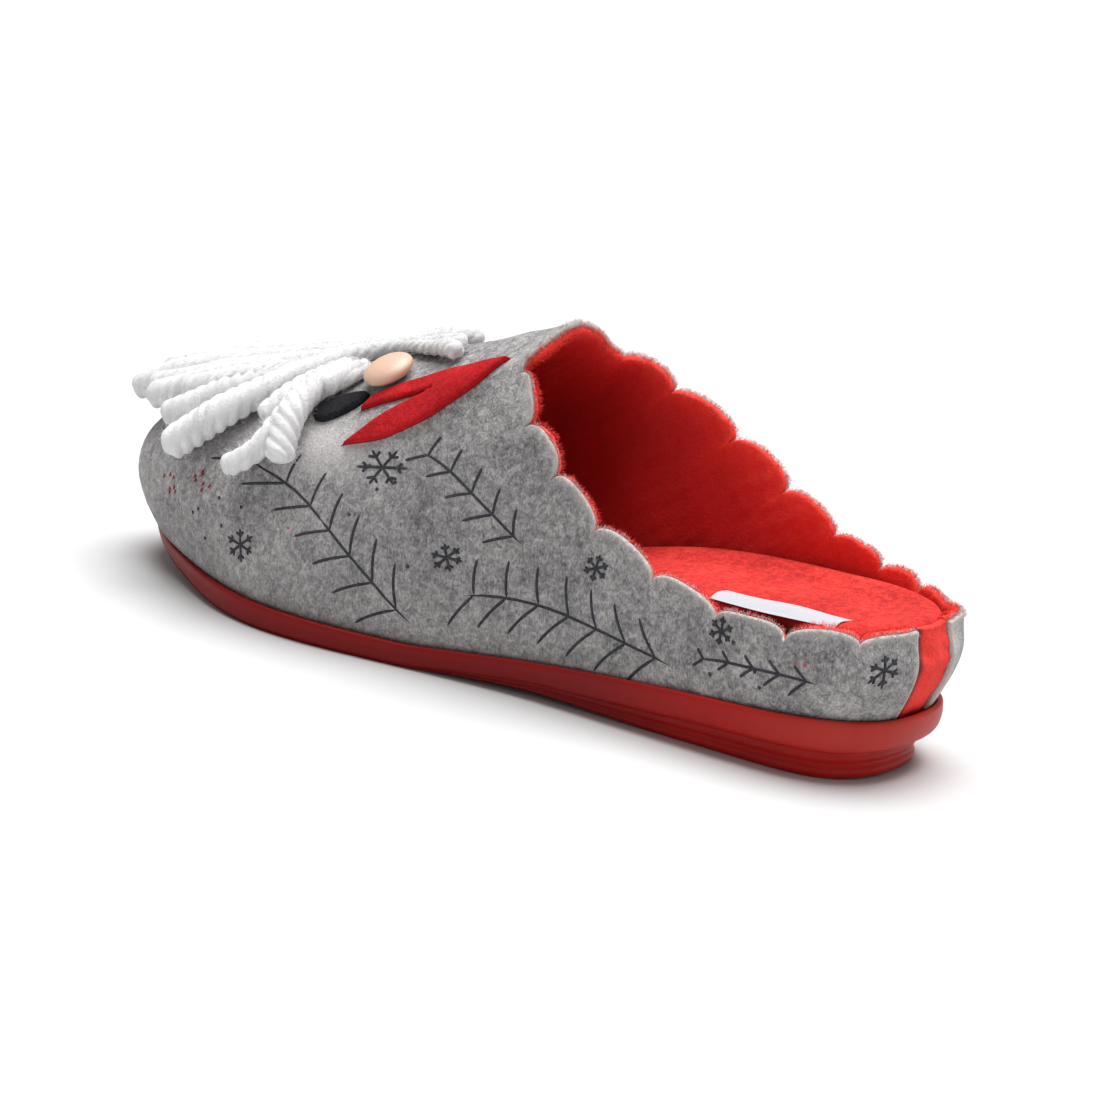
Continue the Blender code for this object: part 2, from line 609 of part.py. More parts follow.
def globe(middle, axes, radii, around, levels):
    """Closed ellipsoid: rings from pole to pole about three given axes."""
    turn = np.arange(around) * 2 * math.pi / around
    vertices = [middle - axes[2] * radii[2]]
    for level in range(1, levels):
        tilt = math.pi * level / levels - math.pi / 2
        ring = (np.cos(turn)[:, None] * axes[0] * radii[0] + np.sin(turn)[:, None] * axes[1] * radii[1])
        vertices.extend(middle + ring * math.cos(tilt) + axes[2] * radii[2] * math.sin(tilt))
    vertices.append(middle + axes[2] * radii[2])
    top = len(vertices) - 1
    faces = []
    for i in range(around):
        j = (i + 1) % around
        faces.append((0, 1 + j, 1 + i))
        last = 1 + (levels - 2) * around
        faces.append((top, last + i, last + j))
        for level in range(levels - 2):
            base = 1 + level * around
            faces.append((base + i, base + j, base + around + j, base + around + i))
    return np.array(vertices), faces


def axes_at(row, climb):
    """Three directions at a place of the upper: round the collar, up the climb, outward."""
    row = np.array(row)
    climb = np.array(climb)
    outward = section_normal(row, climb)
    upward = section(row, climb + 0.01) - section(row, climb - 0.01)
    upward = upward - outward * np.dot(upward, outward)
    upward /= np.linalg.norm(upward)
    return np.array([np.cross(upward, outward), upward, outward])


def build_bead(surface):
    """Flattened bead on the felt beside the red trim's upper point."""
    axes = axes_at(*BEAD_PLACE)
    lift = GAP + BEAD_HALF_HEIGHT
    middle = section(np.array(BEAD_PLACE[0]), np.array(BEAD_PLACE[1])) + axes[2] * lift
    vertices, faces = globe(middle, axes, (BEAD_RADIUS, BEAD_RADIUS, BEAD_HALF_HEIGHT), 14, 8)
    return add_solid("bead", vertices, faces, surface)


def strand_path(strand, share):
    """Middle line of a strand: a quadratic curve on the felt, whose end may float off it."""
    root, bend, end, lift, radius = strand[0:2], strand[2:4], strand[4:6], strand[6], strand[7]
    row, climb = [root[k] * (1 - share) ** 2 + 2 * bend[k] * share * (1 - share) + end[k] * share ** 2
                  for k in range(2)]
    thickness = radius * np.clip(share * STRAND_SWELL + STRAND_END, 0.0, 1.0)
    return on_upper(row, climb, thickness + STRAND_CLEARANCE + lift * share ** STRAND_SPREAD)


def tube(path, radius, around):
    """Closed round tube along a path: it swells from its root, and its end is rounded off."""
    share = np.linspace(0.0, 1.0, len(path))
    tangent = np.gradient(path, axis=0)
    tangent /= np.linalg.norm(tangent, axis=1, keepdims=True)
    side = np.cross(tangent, np.array([0.0, 0.0, 1.0]))
    side /= np.linalg.norm(side, axis=1, keepdims=True)
    over = np.cross(side, tangent)
    grown = np.minimum(share * STRAND_SWELL, (1 - share) * STRAND_TAPER)
    width = radius * np.clip(grown + STRAND_END, 0.0, 1.0)
    turn = np.arange(around) * 2 * math.pi / around
    rings = [path[i] + width[i] * (np.cos(turn)[:, None] * side[i] + np.sin(turn)[:, None] * over[i])
             for i in range(len(path))]
    return ring_stack(rings)


def build_fringe(surface):
    """Yarn strands fused with the knot they spring from."""
    axes = axes_at(*KNOT_PLACE)
    lift = KNOT_RADII[2] + KNOT_CLEARANCE
    middle = section(np.array(KNOT_PLACE[0]), np.array(KNOT_PLACE[1])) + axes[2] * lift
    vertices, faces = globe(middle, axes, KNOT_RADII, 14, 8)
    fringe = add_solid("yarn_fringe", vertices, faces, surface)
    strands = []
    for number, strand in enumerate(STRANDS):
        path = strand_path(strand, np.linspace(0.0, 1.0, STRAND_STEPS + 1))
        vertices, faces = tube(path, strand[-1], STRAND_SIDES)
        piece = add_solid("strand_%02d" % number, vertices, faces, surface)
        strands.append(piece)
        fuse = fringe.modifiers.new("fuse", "BOOLEAN")
        fuse.operation = "UNION"
        fuse.solver = "EXACT"
        fuse.object = piece
    bpy.context.view_layer.update()
    graph = bpy.context.evaluated_depsgraph_get()
    fused = bpy.data.meshes.new_from_object(fringe.evaluated_get(graph))
    fringe.modifiers.clear()
    fringe.data = fused
    for piece in strands:
        bpy.data.objects.remove(piece, do_unlink=True)
    return fringe


RUBBER = material("red_rubber", (128, 42, 38), 0.5)
FELT = material("grey_felt", (124, 123, 123), 0.95)
FOOTBED_CLOTH = material("red_footbed", (236, 66, 56), 0.9)
STRIP_CLOTH = material("red_strip", (219, 65, 61), 0.9)
RED_FELT = material("red_felt", (196, 44, 48), 0.95)
BLACK_FELT = material("black_felt", (52, 50, 54), 0.95)
YARN = material("white_yarn", (236, 233, 232), 0.95)
BEAD_PAINT = material("beige_bead", (240, 206, 184), 0.6)

build_outsole(RUBBER)
build_upper(FELT)
build_insole(FOOTBED_CLOTH)
build_heel_strip(STRIP_CLOTH)
build_swallowtail(RED_FELT)
build_patch(BLACK_FELT)
build_fringe(YARN)
build_bead(BEAD_PAINT)

# Put the middle of the bounding box's bottom at the origin
pieces = [piece for piece in bpy.data.objects if piece.type == "MESH"]
corners = np.concatenate([np.array([v.co for v in piece.data.vertices]) for piece in pieces])
low = corners.min(axis=0)
high = corners.max(axis=0)
shift = np.array([(low[0] + high[0]) / 2, (low[1] + high[1]) / 2, low[2]])
for piece in pieces:
    places = np.array([v.co for v in piece.data.vertices]) - shift
    piece.data.vertices.foreach_set("co", places.ravel())
    piece.data.update()
print("box", (high - low).round(4), "shift", shift.round(5))
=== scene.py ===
# %% [markdown]
# # A felt house slipper, dressed
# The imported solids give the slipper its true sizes. This lesson dresses them: grey felt with a red fleece
# lining, a padded red footbed, a rubber sole, felt and yarn trims. Each form is a surface worked out from
# the same tables as the solids, so every piece goes where its solid is.

# %% Load the solids
import math

import bmesh
import bpy
import numpy as np
from mathutils import Matrix


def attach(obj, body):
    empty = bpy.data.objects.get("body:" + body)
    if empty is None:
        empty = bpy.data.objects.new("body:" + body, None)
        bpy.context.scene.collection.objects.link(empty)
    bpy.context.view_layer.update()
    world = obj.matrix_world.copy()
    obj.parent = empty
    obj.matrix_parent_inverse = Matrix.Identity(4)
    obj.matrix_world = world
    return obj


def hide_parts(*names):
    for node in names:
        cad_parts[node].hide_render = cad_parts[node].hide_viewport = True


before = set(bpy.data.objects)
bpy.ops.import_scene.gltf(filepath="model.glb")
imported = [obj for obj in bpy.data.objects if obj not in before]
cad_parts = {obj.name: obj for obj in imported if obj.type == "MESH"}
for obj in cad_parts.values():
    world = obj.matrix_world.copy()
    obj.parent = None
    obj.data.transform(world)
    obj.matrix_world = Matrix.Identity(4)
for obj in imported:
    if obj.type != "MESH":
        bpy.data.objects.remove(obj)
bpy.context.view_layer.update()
print("solids:", sorted(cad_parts))

# %% [markdown]
# ## From the shoe's own frame to the part's frame
# A shoemaker measures from the back of the heel, in millimetres: X to the inner side of the foot, Y
# towards the toe, Z up. The part's frame has the middle of its box at the origin, in metres. One shift
# and one scale lead from the first to the second, so all the forms below stay in millimetres.

# %% Shift and scale
MM = 0.001
TAU = 2 * math.pi
BOX_MIDDLE = np.array([-1.33, 128.56, 0.0])


def to_part(points):
    """Millimetres in the shoe's frame, less the box's middle, as metres."""
    return (points - BOX_MIDDLE) * MM


def unit(vectors):
    """Vectors divided by their own lengths."""
    return vectors / np.linalg.norm(vectors, axis=-1, keepdims=True)


def raised(plan, z):
    """Points of a plan at these heights."""
    return np.concatenate([plan, z[..., None]], axis=-1)


def spun(turn, side, over):
    """Directions at these turns from side towards over: cos(turn) side + sin(turn) over."""
    return np.cos(turn)[..., None] * side + np.sin(turn)[..., None] * over


def bell(distance, width, power=2):
    """1 at no distance, falling off over about the width: exp(-|distance / width| ^ power)."""
    return np.exp(-np.abs(distance / width) ** power)


def soft_step(share):
    """From 0 to 1 with level ends: 3 p^2 - 2 p^3."""
    return share ** 2 * (3 - 2 * share)


print("heel's back in the part's frame:", to_part(np.zeros(3)).round(4))

# %% [markdown]
# ## Tables that the forms follow
# A short table with a row for each section is easier to read and to change than a cloud of points. A
# curve through its rows must not overshoot them, or the sole would get waves between two rows, so the
# slopes at the rows are harmonic means of the rates on both sides.

# %% A smooth curve through a table


def cubic(p, start, end, slope_start, slope_end, step):
    """Cubic from start to end over one step, p from 0 to 1, with these slopes at its ends."""
    return (start * (1 + 2 * p) * (1 - p) ** 2 + end * p * p * (3 - 2 * p)
            + step * p * (1 - p) * (slope_start * (1 - p) - slope_end * p))


def quadratic(p, start, bend, end):
    """Curve from start to end that the bend draws to itself."""
    return start * (1 - p) ** 2 + 2 * bend * p * (1 - p) + end * p ** 2


def through_rows(at, knots, values):
    """Cubic between rows; its slope at a row is the weighted harmonic mean of the rates beside it."""
    knots, values = np.asarray(knots, float), np.asarray(values, float)
    at = np.clip(np.asarray(at, float), knots[0], knots[-1])
    step = np.diff(knots)
    rate = np.diff(values) / step
    same = rate[:-1] * rate[1:] > 0
    ahead, behind = 2 * step[1:] + step[:-1], step[1:] + 2 * step[:-1]
    first, second = [np.where(same, beside, 1.0) for beside in (rate[:-1], rate[1:])]
    mean = (ahead + behind) / (ahead / first + behind / second)
    slope = np.concatenate([rate[:1], np.where(same, mean, 0.0), rate[-1:]])
    i = np.clip(np.searchsorted(knots, at, side="right") - 1, 0, len(step) - 1)
    return cubic((at - knots[i]) / step[i], values[i], values[i + 1], slope[i], slope[i + 1], step[i])


print("halfway up a step that ends level:", float(through_rows(0.5, (0, 1, 2), (0, 1, 1))))

# %% [markdown]
# ## The sole in plan
# A last maker gives half widths at shares of the length. One closed curve runs through them, from the
# heel along the outer side to the toe and back along the inner side. Its bend is continuous, so no flat
# or kink shows in the gloss of the rubber.

# %% The sole's outline
SOLE_LENGTH, BALL_WIDTH, TOE_APEX_X = 255.5, 86.0, 5.5
# share of the length, then half widths to the outer and the inner side as shares of the ball width
OUTLINE = np.array([
    (0.010, 0.172, 0.172), (0.029, 0.258, 0.258), (0.061, 0.325, 0.325), (0.100, 0.358, 0.358),
    (0.152, 0.370, 0.369), (0.220, 0.374, 0.362), (0.300, 0.378, 0.342), (0.400, 0.385, 0.313),
    (0.500, 0.429, 0.334), (0.600, 0.491, 0.401), (0.680, 0.524, 0.468), (0.750, 0.507, 0.468),
    (0.820, 0.436, 0.429), (0.880, 0.346, 0.396), (0.930, 0.258, 0.336), (0.968, 0.160, 0.256),
    (0.990, 0.066, 0.166)])
OUTER_EDGE = np.stack([-OUTLINE[:, 1] * BALL_WIDTH, OUTLINE[:, 0] * SOLE_LENGTH], axis=1)
INNER_EDGE = np.stack([OUTLINE[:, 2] * BALL_WIDTH, OUTLINE[:, 0] * SOLE_LENGTH], axis=1)
RING = np.concatenate([[[0.0, 0.0]], OUTER_EDGE, [[TOE_APEX_X, SOLE_LENGTH]], INNER_EDGE[::-1]])
RING_STEP = np.linalg.norm(np.roll(RING, -1, axis=0) - RING, axis=1)
RING_KNOTS = np.concatenate([[0.0], np.cumsum(RING_STEP)])
NEAR = 1e-4


def ring_slopes():
    """Slopes that make the closed curve's bend continuous: one linear equation for each point."""
    step, one = RING_STEP[:, None], np.eye(len(RING))
    before, rate = np.roll(step, 1, axis=0), (np.roll(RING, -1, axis=0) - RING) / step
    system = np.roll(one, -1, axis=1) * step + one * 2 * (before + step) + np.roll(one, 1, axis=1) * before
    return np.linalg.solve(system, 3 * (step * np.roll(rate, 1, axis=0) + before * rate))


RING_SLOPES = ring_slopes()


def edge_curve(at):
    """Closed cubic through the outline's points; at runs from 0 at the heel to 1."""
    along = np.mod(np.asarray(at, float), 1.0) * RING_KNOTS[-1]
    i = np.clip(np.searchsorted(RING_KNOTS, along, side="right") - 1, 0, len(RING) - 1)
    j, step = (i + 1) % len(RING), RING_STEP[i][..., None]
    p = (along - RING_KNOTS[i])[..., None] / step
    return cubic(p, RING[i], RING[j], RING_SLOPES[i], RING_SLOPES[j], step)


def outline(at, inset):
    """The edge curve moved inward by the inset, square to its own direction."""
    at = np.asarray(at, float)
    tangent = unit(edge_curve(at + NEAR) - edge_curve(at - NEAR))
    inward = np.stack([tangent[..., 1], -tangent[..., 0]], axis=-1)
    return edge_curve(at) + inward * np.broadcast_to(inset, at.shape)[..., None]


DENSE = np.linspace(0.0, 1.0, 4001)
DENSE_EDGE = edge_curve(DENSE)
TOE_AT = DENSE[np.argmax(DENSE_EDGE[:, 1])]
OUTER_HALF = DENSE <= TOE_AT


def on_halves(y, values):
    """Values of the dense outline at a distance from the heel, on its outer and on its inner half."""
    outer = np.interp(y, DENSE_EDGE[OUTER_HALF, 1], values[OUTER_HALF])
    inner = np.interp(y, DENSE_EDGE[~OUTER_HALF, 1][::-1], values[~OUTER_HALF][::-1])
    return outer, inner


print("outline: toe at", round(float(TOE_AT), 3), "of the ring,", round(float(RING_KNOTS[-1])), "mm round")

# %% Heights of the sole
LIP_HEIGHT, LIP_WIDTH, GAP = 1.2, 2.1, 0.35
# share of the length: top edge, underside, height of the stepped lower heel, how far it steps in
SOLE = np.array([
    (0.00, 17.6, 0.6, 8.0, 5.6), (0.05, 17.4, 0.0, 7.9, 5.6), (0.15, 15.9, 0.0, 7.2, 5.6),
    (0.23, 14.5, 0.0, 6.2, 5.2), (0.30, 13.0, 0.7, 4.6, 4.2), (0.40, 10.2, 1.8, 2.4, 2.6),
    (0.48, 8.0, 1.2, 1.2, 1.6), (0.55, 6.6, 0.0, 0.8, 1.2), (0.71, 7.0, 0.0, 0.8, 1.2),
    (0.78, 7.6, 0.8, 0.8, 1.2), (0.85, 8.5, 2.6, 0.8, 1.2), (0.92, 9.9, 5.1, 0.8, 1.2),
    (1.00, 12.4, 9.2, 0.8, 1.2)])
SOLE_COLUMNS = ("along", "top", "under", "lower", "step")


def sole_column(name, y):
    """One column of the sole's table at a distance from the heel."""
    return through_rows(np.asarray(y) / SOLE_LENGTH, SOLE[:, 0], SOLE[:, SOLE_COLUMNS.index(name)])


def seat_height(y):
    """Where felt and footbed stand on the sole: a seam's width above the floor of its seat."""
    return sole_column("top", y) - LIP_HEIGHT + GAP


print("sole under the heel is", float(sole_column("top", 0.0)), "mm high")

# %% [markdown]
# ## The wall of the upper
# A maker stretches the felt over a last. Here a section leaves the sole's edge upright and climbs to the
# collar on one cubic curve; a table gives each section's handles, and rows between the sections follow. A
# place on the wall is then two numbers: the row round the collar and the share of the climb.

# %% Sections of the wall
FELT_INSET = 2.7
WALL_COLUMNS = ("foot", "x", "y", "z", "rise", "bulge", "reach", "drop", "notch")
WALL_ROWS = np.array([
    (0.0, 0.0, -1.2, 41.5, 0.75, 9.5, 0.0, 0.30, 0.0),
    (5.0, -18.6, 2.4, 41.4, 0.72, 9.0, 0.0, 0.30, 2.4),
    (18.0, -28.2, 16.8, 40.6, 0.60, 6.0, 0.15, 0.34, 4.8),
    (39.0, -30.8, 38.0, 39.6, 0.48, 3.2, 0.3, 0.36, 4.6),
    (62.0, -30.4, 57.5, 42.0, 0.38, 1.0, 0.45, 0.36, 4.8),
    (88.0, -30.4, 77.0, 48.6, 0.40, 1.2, 0.5, 0.36, 5.2),
    (114.0, -30.2, 93.5, 58.8, 0.42, 1.6, 0.52, 0.36, 5.4),
    (138.0, -28.6, 105.0, 68.8, 0.44, 2.2, 0.54, 0.36, 5.4),
    (160.0, -24.8, 115.4, 80.6, 0.46, 2.8, 0.56, 0.36, 4.0),
    (184.0, -20.0, 120.2, 89.4, 0.48, 3.6, 0.58, 0.36, 0.0),
    (222.0, -10.6, 120.6, 93.2, 0.48, 21.0, 0.60, 0.40, 0.0),
    (SOLE_LENGTH, 0.0, 119.6, 93.8, 0.44, 30.0, 0.62, 0.42, 0.0),
    (228.0, 10.6, 118.8, 91.8, 0.48, 21.0, 0.60, 0.40, 0.0),
    (192.0, 18.2, 118.6, 87.6, 0.48, 3.2, 0.58, 0.36, 4.0),
    (165.0, 24.6, 108.6, 83.4, 0.46, 2.4, 0.56, 0.36, 5.0),
    (137.0, 27.2, 88.0, 75.0, 0.44, 1.8, 0.54, 0.36, 5.2),
    (108.0, 28.2, 70.7, 65.0, 0.42, 1.4, 0.52, 0.36, 5.2),
    (82.0, 29.0, 54.0, 55.4, 0.40, 1.2, 0.5, 0.36, 5.0),
    (60.0, 29.5, 38.5, 48.4, 0.38, 1.0, 0.45, 0.36, 5.0),
    (40.0, 29.9, 26.0, 44.2, 0.48, 3.2, 0.3, 0.36, 4.6),
    (18.0, 27.0, 13.8, 42.2, 0.60, 6.0, 0.15, 0.34, 2.4),
    (5.0, 18.6, 2.4, 41.6, 0.72, 9.0, 0.0, 0.30, 0.0),
    (0.0, 0.0, -1.2, 41.5, 0.75, 9.5, 0.0, 0.30, 0.0)])
TOE_ROW, LAST_ROW = 11, len(WALL_ROWS) - 1
ROW_NUMBERS = np.arange(len(WALL_ROWS))


def foot_places():
    """Places on the sole's outline that the sections start from, found by their distance from the heel."""
    outer, inner = on_halves(WALL_ROWS[:, 0], DENSE)
    places = np.where(ROW_NUMBERS < TOE_ROW, outer, inner)
    places[[0, TOE_ROW, LAST_ROW]] = 0.0, TOE_AT, 1.0
    return places


FOOT_PLACES = foot_places()


def wall_column(name, row):
    """One column of the wall's table between its rows."""
    return through_rows(row, ROW_NUMBERS, WALL_ROWS[:, WALL_COLUMNS.index(name)])


def wall_face(row, climb):
    """Cubic from the foot on the sole to the collar; its handles stand upright at the foot and are drawn
    back at the collar."""
    row = np.mod(np.asarray(row, float), LAST_ROW)
    place = through_rows(row, ROW_NUMBERS, FOOT_PLACES)
    plan = outline(place, FELT_INSET)
    outward = raised(plan - outline(place, FELT_INSET + 1.0), np.zeros(row.shape))
    foot = raised(plan, seat_height(plan[..., 1]))
    collar = np.stack([wall_column(axis, row) for axis in "xyz"], axis=-1)
    flat, up = (collar - foot) * [1.0, 1.0, 0.0], (collar - foot) * [0.0, 0.0, 1.0]
    rise, bulge, reach, drop = [wall_column(name, row)[..., None] for name in WALL_COLUMNS[4:8]]
    low = foot + rise * up + bulge * outward
    high = collar - reach * flat - drop * up
    c = np.asarray(climb, float)[..., None]
    return foot * (1 - c) ** 3 + 3 * low * c * (1 - c) ** 2 + 3 * high * c ** 2 * (1 - c) + collar * c ** 3


def wall_axes(row, climb, small=1e-3):
    """Steps of one row and of one whole climb on the face, and the outward direction square to both."""
    around = (wall_face(row + small, climb) - wall_face(row - small, climb)) / (2 * small)
    upward = (wall_face(row, climb + small) - wall_face(row, climb - small)) / (2 * small)
    return around, upward, unit(np.cross(upward, around))


instep, toe = wall_face(np.full(2, float(TOE_ROW)), np.array([1.0, 0.0]))
print("instep", instep.round(1), "toe", toe.round(1))

# %% [markdown]
# ## Scallops
# The collar is cut in round lobes, one to a section, and the throat in one wide lobe. The notches between
# them are a share of the climb that is left off, so the edge stays on the wall's own face.

# %% The scalloped edge
THROAT_FROM, THROAT_TO, LOBE_ROUNDNESS = 8.5, 13.5, 2.3


def notch_depth(row):
    """Depth below the lobes' tops: one minus a superellipse of the place in the lobe, times its notch."""
    notches, nearest = WALL_ROWS[:, -1], np.rint(row)
    in_throat = (row > THROAT_FROM) & (row < THROAT_TO)
    share = np.where(in_throat, (row - TOE_ROW) / (THROAT_TO - TOE_ROW), 2 * (row - nearest))
    before = np.where(in_throat, TOE_ROW - 3, nearest - 1)
    after = np.where(in_throat, TOE_ROW + 2, nearest)
    depth = notches[np.clip(np.where(share < 0, before, after), 0, LAST_ROW).astype(int)]
    lobe = (1 - np.clip(np.abs(share), 0, 1) ** LOBE_ROUNDNESS) ** (1 / LOBE_ROUNDNESS)
    return depth * (1 - lobe)


def collar_climb(row):
    """Share of the climb at the edge: the tip's, less the notch's depth over the climb's speed, in three
    passes."""
    depth, climb = notch_depth(row), np.ones(row.shape)
    for _ in range(3):
        upward = wall_axes(row, (1 + climb) / 2)[1]
        climb = 1 - depth / np.linalg.norm(upward, axis=-1)
    return climb


print("share left in the deepest notches:", collar_climb(np.array([6.5, 7.5, 16.5])).round(3))

# %% [markdown]
# ## Creases and waves
# Felt that has been lasted, packed and tried on isn't a perfect surface. Each crease is given as a line on
# the wall with a depth and a half width in millimetres: a trough where the depth is negative, a ridge
# where it is positive. A few slow waves, sums of sines in fixed directions, take off the rest of the
# stiffness. All pieces on the wall use this relief, so nothing floats over it.

# %% Relief of the wall
# row and climb of a crease's two ends, then its depth and half width
CREASES = np.array([
    (9.35, 0.97, 8.55, 0.70, 0.9, 5.0), (8.95, 0.95, 8.25, 0.72, -0.8, 4.5),
    (3.20, 0.15, 3.45, 0.80, -0.7, 5.5), (2.25, 0.20, 2.35, 0.75, 0.5, 5.0),
    (1.10, 0.15, 1.30, 0.85, 0.6, 5.0), (5.10, 0.30, 5.60, 0.85, -0.5, 7.0),
    (6.70, 0.25, 7.40, 0.75, 0.5, 9.0), (13.0, 0.95, 13.7, 0.66, 0.8, 5.5),
    (17.2, 0.20, 16.8, 0.80, -0.7, 7.0), (19.4, 0.20, 19.2, 0.80, -0.6, 5.0),
    (15.0, 0.30, 14.6, 0.75, 0.6, 9.0), (9.90, 0.06, 10.3, 0.24, -0.6, 6.0),
    (11.6, 0.06, 12.2, 0.22, -0.6, 6.0)])


def waves(points, length, seed, sines=8):
    """Mean of some sines of about that wavelength, each along a fixed chance direction in space."""
    chance = np.random.default_rng(seed)
    direction = chance.normal(size=(sines, 3))
    pace = chance.uniform(0.75, 1.35, sines) / np.linalg.norm(direction, axis=1) * TAU / length
    phase = points @ (direction * pace[:, None]).T + chance.uniform(0, TAU, sines)
    return 2.0 * np.sin(phase).mean(axis=-1)


def ripples(points, *sets):
    """Sum of sets of waves, each given by height, length and seed."""
    return sum(height * waves(points, length, seed) for height, length, seed in sets)


LOBE_LEAN, CALM_CLIMB, CALM_ROWS = 0.7, 0.12, 1.5


def wall_relief(row, climb, face):
    """Each crease's depth times a bell of the distance to its line, plus slow waves and leaning lobes;
    all of it fades out at the foot and by the heel slot."""
    share = np.linspace(0.0, 1.0, 15)
    fade = np.sin(math.pi * np.clip(share, 0.06, 0.94))
    total = ripples(face, (0.45, 34.0, 1), (0.16, 13.0, 2))
    for row_a, climb_a, row_b, climb_b, depth, width in CREASES:
        line = wall_face(row_a + (row_b - row_a) * share, climb_a + (climb_b - climb_a) * share)
        reach = bell(np.linalg.norm(face[..., None, :] - line, axis=-1), width)
        total = total + depth * (reach * fade).max(axis=-1)
    lean = LOBE_LEAN * np.sin(row * 2.4 + 0.6 * np.sin(row * 0.9)) * np.clip(climb, 0, 1) ** 7
    from_slot = np.minimum(np.mod(row, LAST_ROW), LAST_ROW - np.mod(row, LAST_ROW))
    return (total + lean) * np.clip(climb / CALM_CLIMB, 0.0, 1.0) * np.clip(from_slot / CALM_ROWS, 0.15, 1.0)


def on_wall(row, climb, lift):
    """The face with its relief, moved along the outward direction by the lift; level at the foot."""
    row, climb, lift = np.broadcast_arrays(row, climb, lift)
    face, outward = wall_face(row, climb), wall_axes(row, climb)[2]
    blend = np.clip(climb / 0.06, 0.0, 1.0)[..., None]
    direction = outward * blend + unit(outward * [1.0, 1.0, 0.0]) * (1 - blend)
    return face + direction * (lift + wall_relief(row, climb, face))[..., None]


print("creases:", len(CREASES), "the deepest", float(np.abs(CREASES[:, 4]).max()), "mm")

# %% [markdown]
# ## From a grid to a piece
# A surface of two parameters is a grid of points, and each cell of the grid is one quad. This helper
# takes one grid or many of the same size, joins the last column to the first where they are tubes, welds
# points that meet at poles and seams, stores marks (numbers that a material reads) and hands the piece to
# the part's body.

# %% Make a piece


def put(name, data, axes=None, place=None):
    """An object of this data in the scene, turned to the axes at a place in the part's frame if given."""
    thing = bpy.data.objects.new(name, data)
    bpy.context.scene.collection.objects.link(thing)
    if axes is not None:
        matrix = np.eye(4)
        matrix[:3, :3], matrix[:3, 3] = np.stack(axes, axis=1), place
        thing.matrix_world = Matrix(matrix.tolist())
    return thing


def grid_mesh(name, grids, tube, closed):
    """Quads between neighbours of each grid; a closed skin is turned outward by the sign of its volume."""
    number = np.arange(grids[..., 0].size).reshape(grids.shape[:3])
    if tube:
        number = np.concatenate([number, number[:, :, :1]], axis=2)
    corners = number[:, :-1, :-1], number[:, 1:, :-1], number[:, 1:, 1:], number[:, :-1, 1:]
    quads, points = np.stack(corners, axis=-1).reshape(-1, 4), to_part(grids.reshape(-1, 3))
    a, b, c, d = [points[quads[:, k]] for k in range(4)]
    volume = ((np.cross(b - a, c - a) + np.cross(c - a, d - a)) * a).sum()
    mesh = bpy.data.meshes.new(name)
    mesh.from_pydata(points.tolist(), [], (quads[:, ::-1] if closed and volume <= 0 else quads).tolist())
    return mesh


def weld(mesh, distance=2e-6):
    """Makes one point of points that meet."""
    work = bmesh.new()
    work.from_mesh(mesh)
    bmesh.ops.remove_doubles(work, verts=work.verts, dist=distance)
    work.to_mesh(mesh)
    work.free()


def add_piece(name, grids, look, stands_for=(), marks=None, tube=True, closed=True):
    """A smooth piece on the part's body, from grids of points in millimetres."""
    grids = grids if grids.ndim == 4 else grids[None]
    mesh = grid_mesh(name, grids, tube, closed)
    for mark, values in (marks or {}).items():
        layer = mesh.attributes.new(mark, "FLOAT", "POINT")
        values = np.broadcast_to(values, grids.shape[:3])
        layer.data.foreach_set("value", np.ascontiguousarray(values, np.float32).ravel())
    if closed:
        weld(mesh)
    mesh.polygons.foreach_set("use_smooth", np.ones(len(mesh.polygons), bool))
    mesh.materials.append(look)
    mesh.update()
    piece = put(name, mesh)
    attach(piece, "root")
    if stands_for:
        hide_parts(*stands_for)
    print(name, "has", sum(len(p.vertices) - 2 for p in mesh.polygons), "triangles")
    return piece


# %% [markdown]
# ## Shader maths as Python
# A material is a tree of nodes, and a tree of Math nodes is hard to read. This small class wraps one
# output socket, so that `0.5 + 0.3 * mottle` adds the Math nodes itself. Any other node comes from one
# method that sets the node's settings and feeds its sockets.

# %% A tone of a material


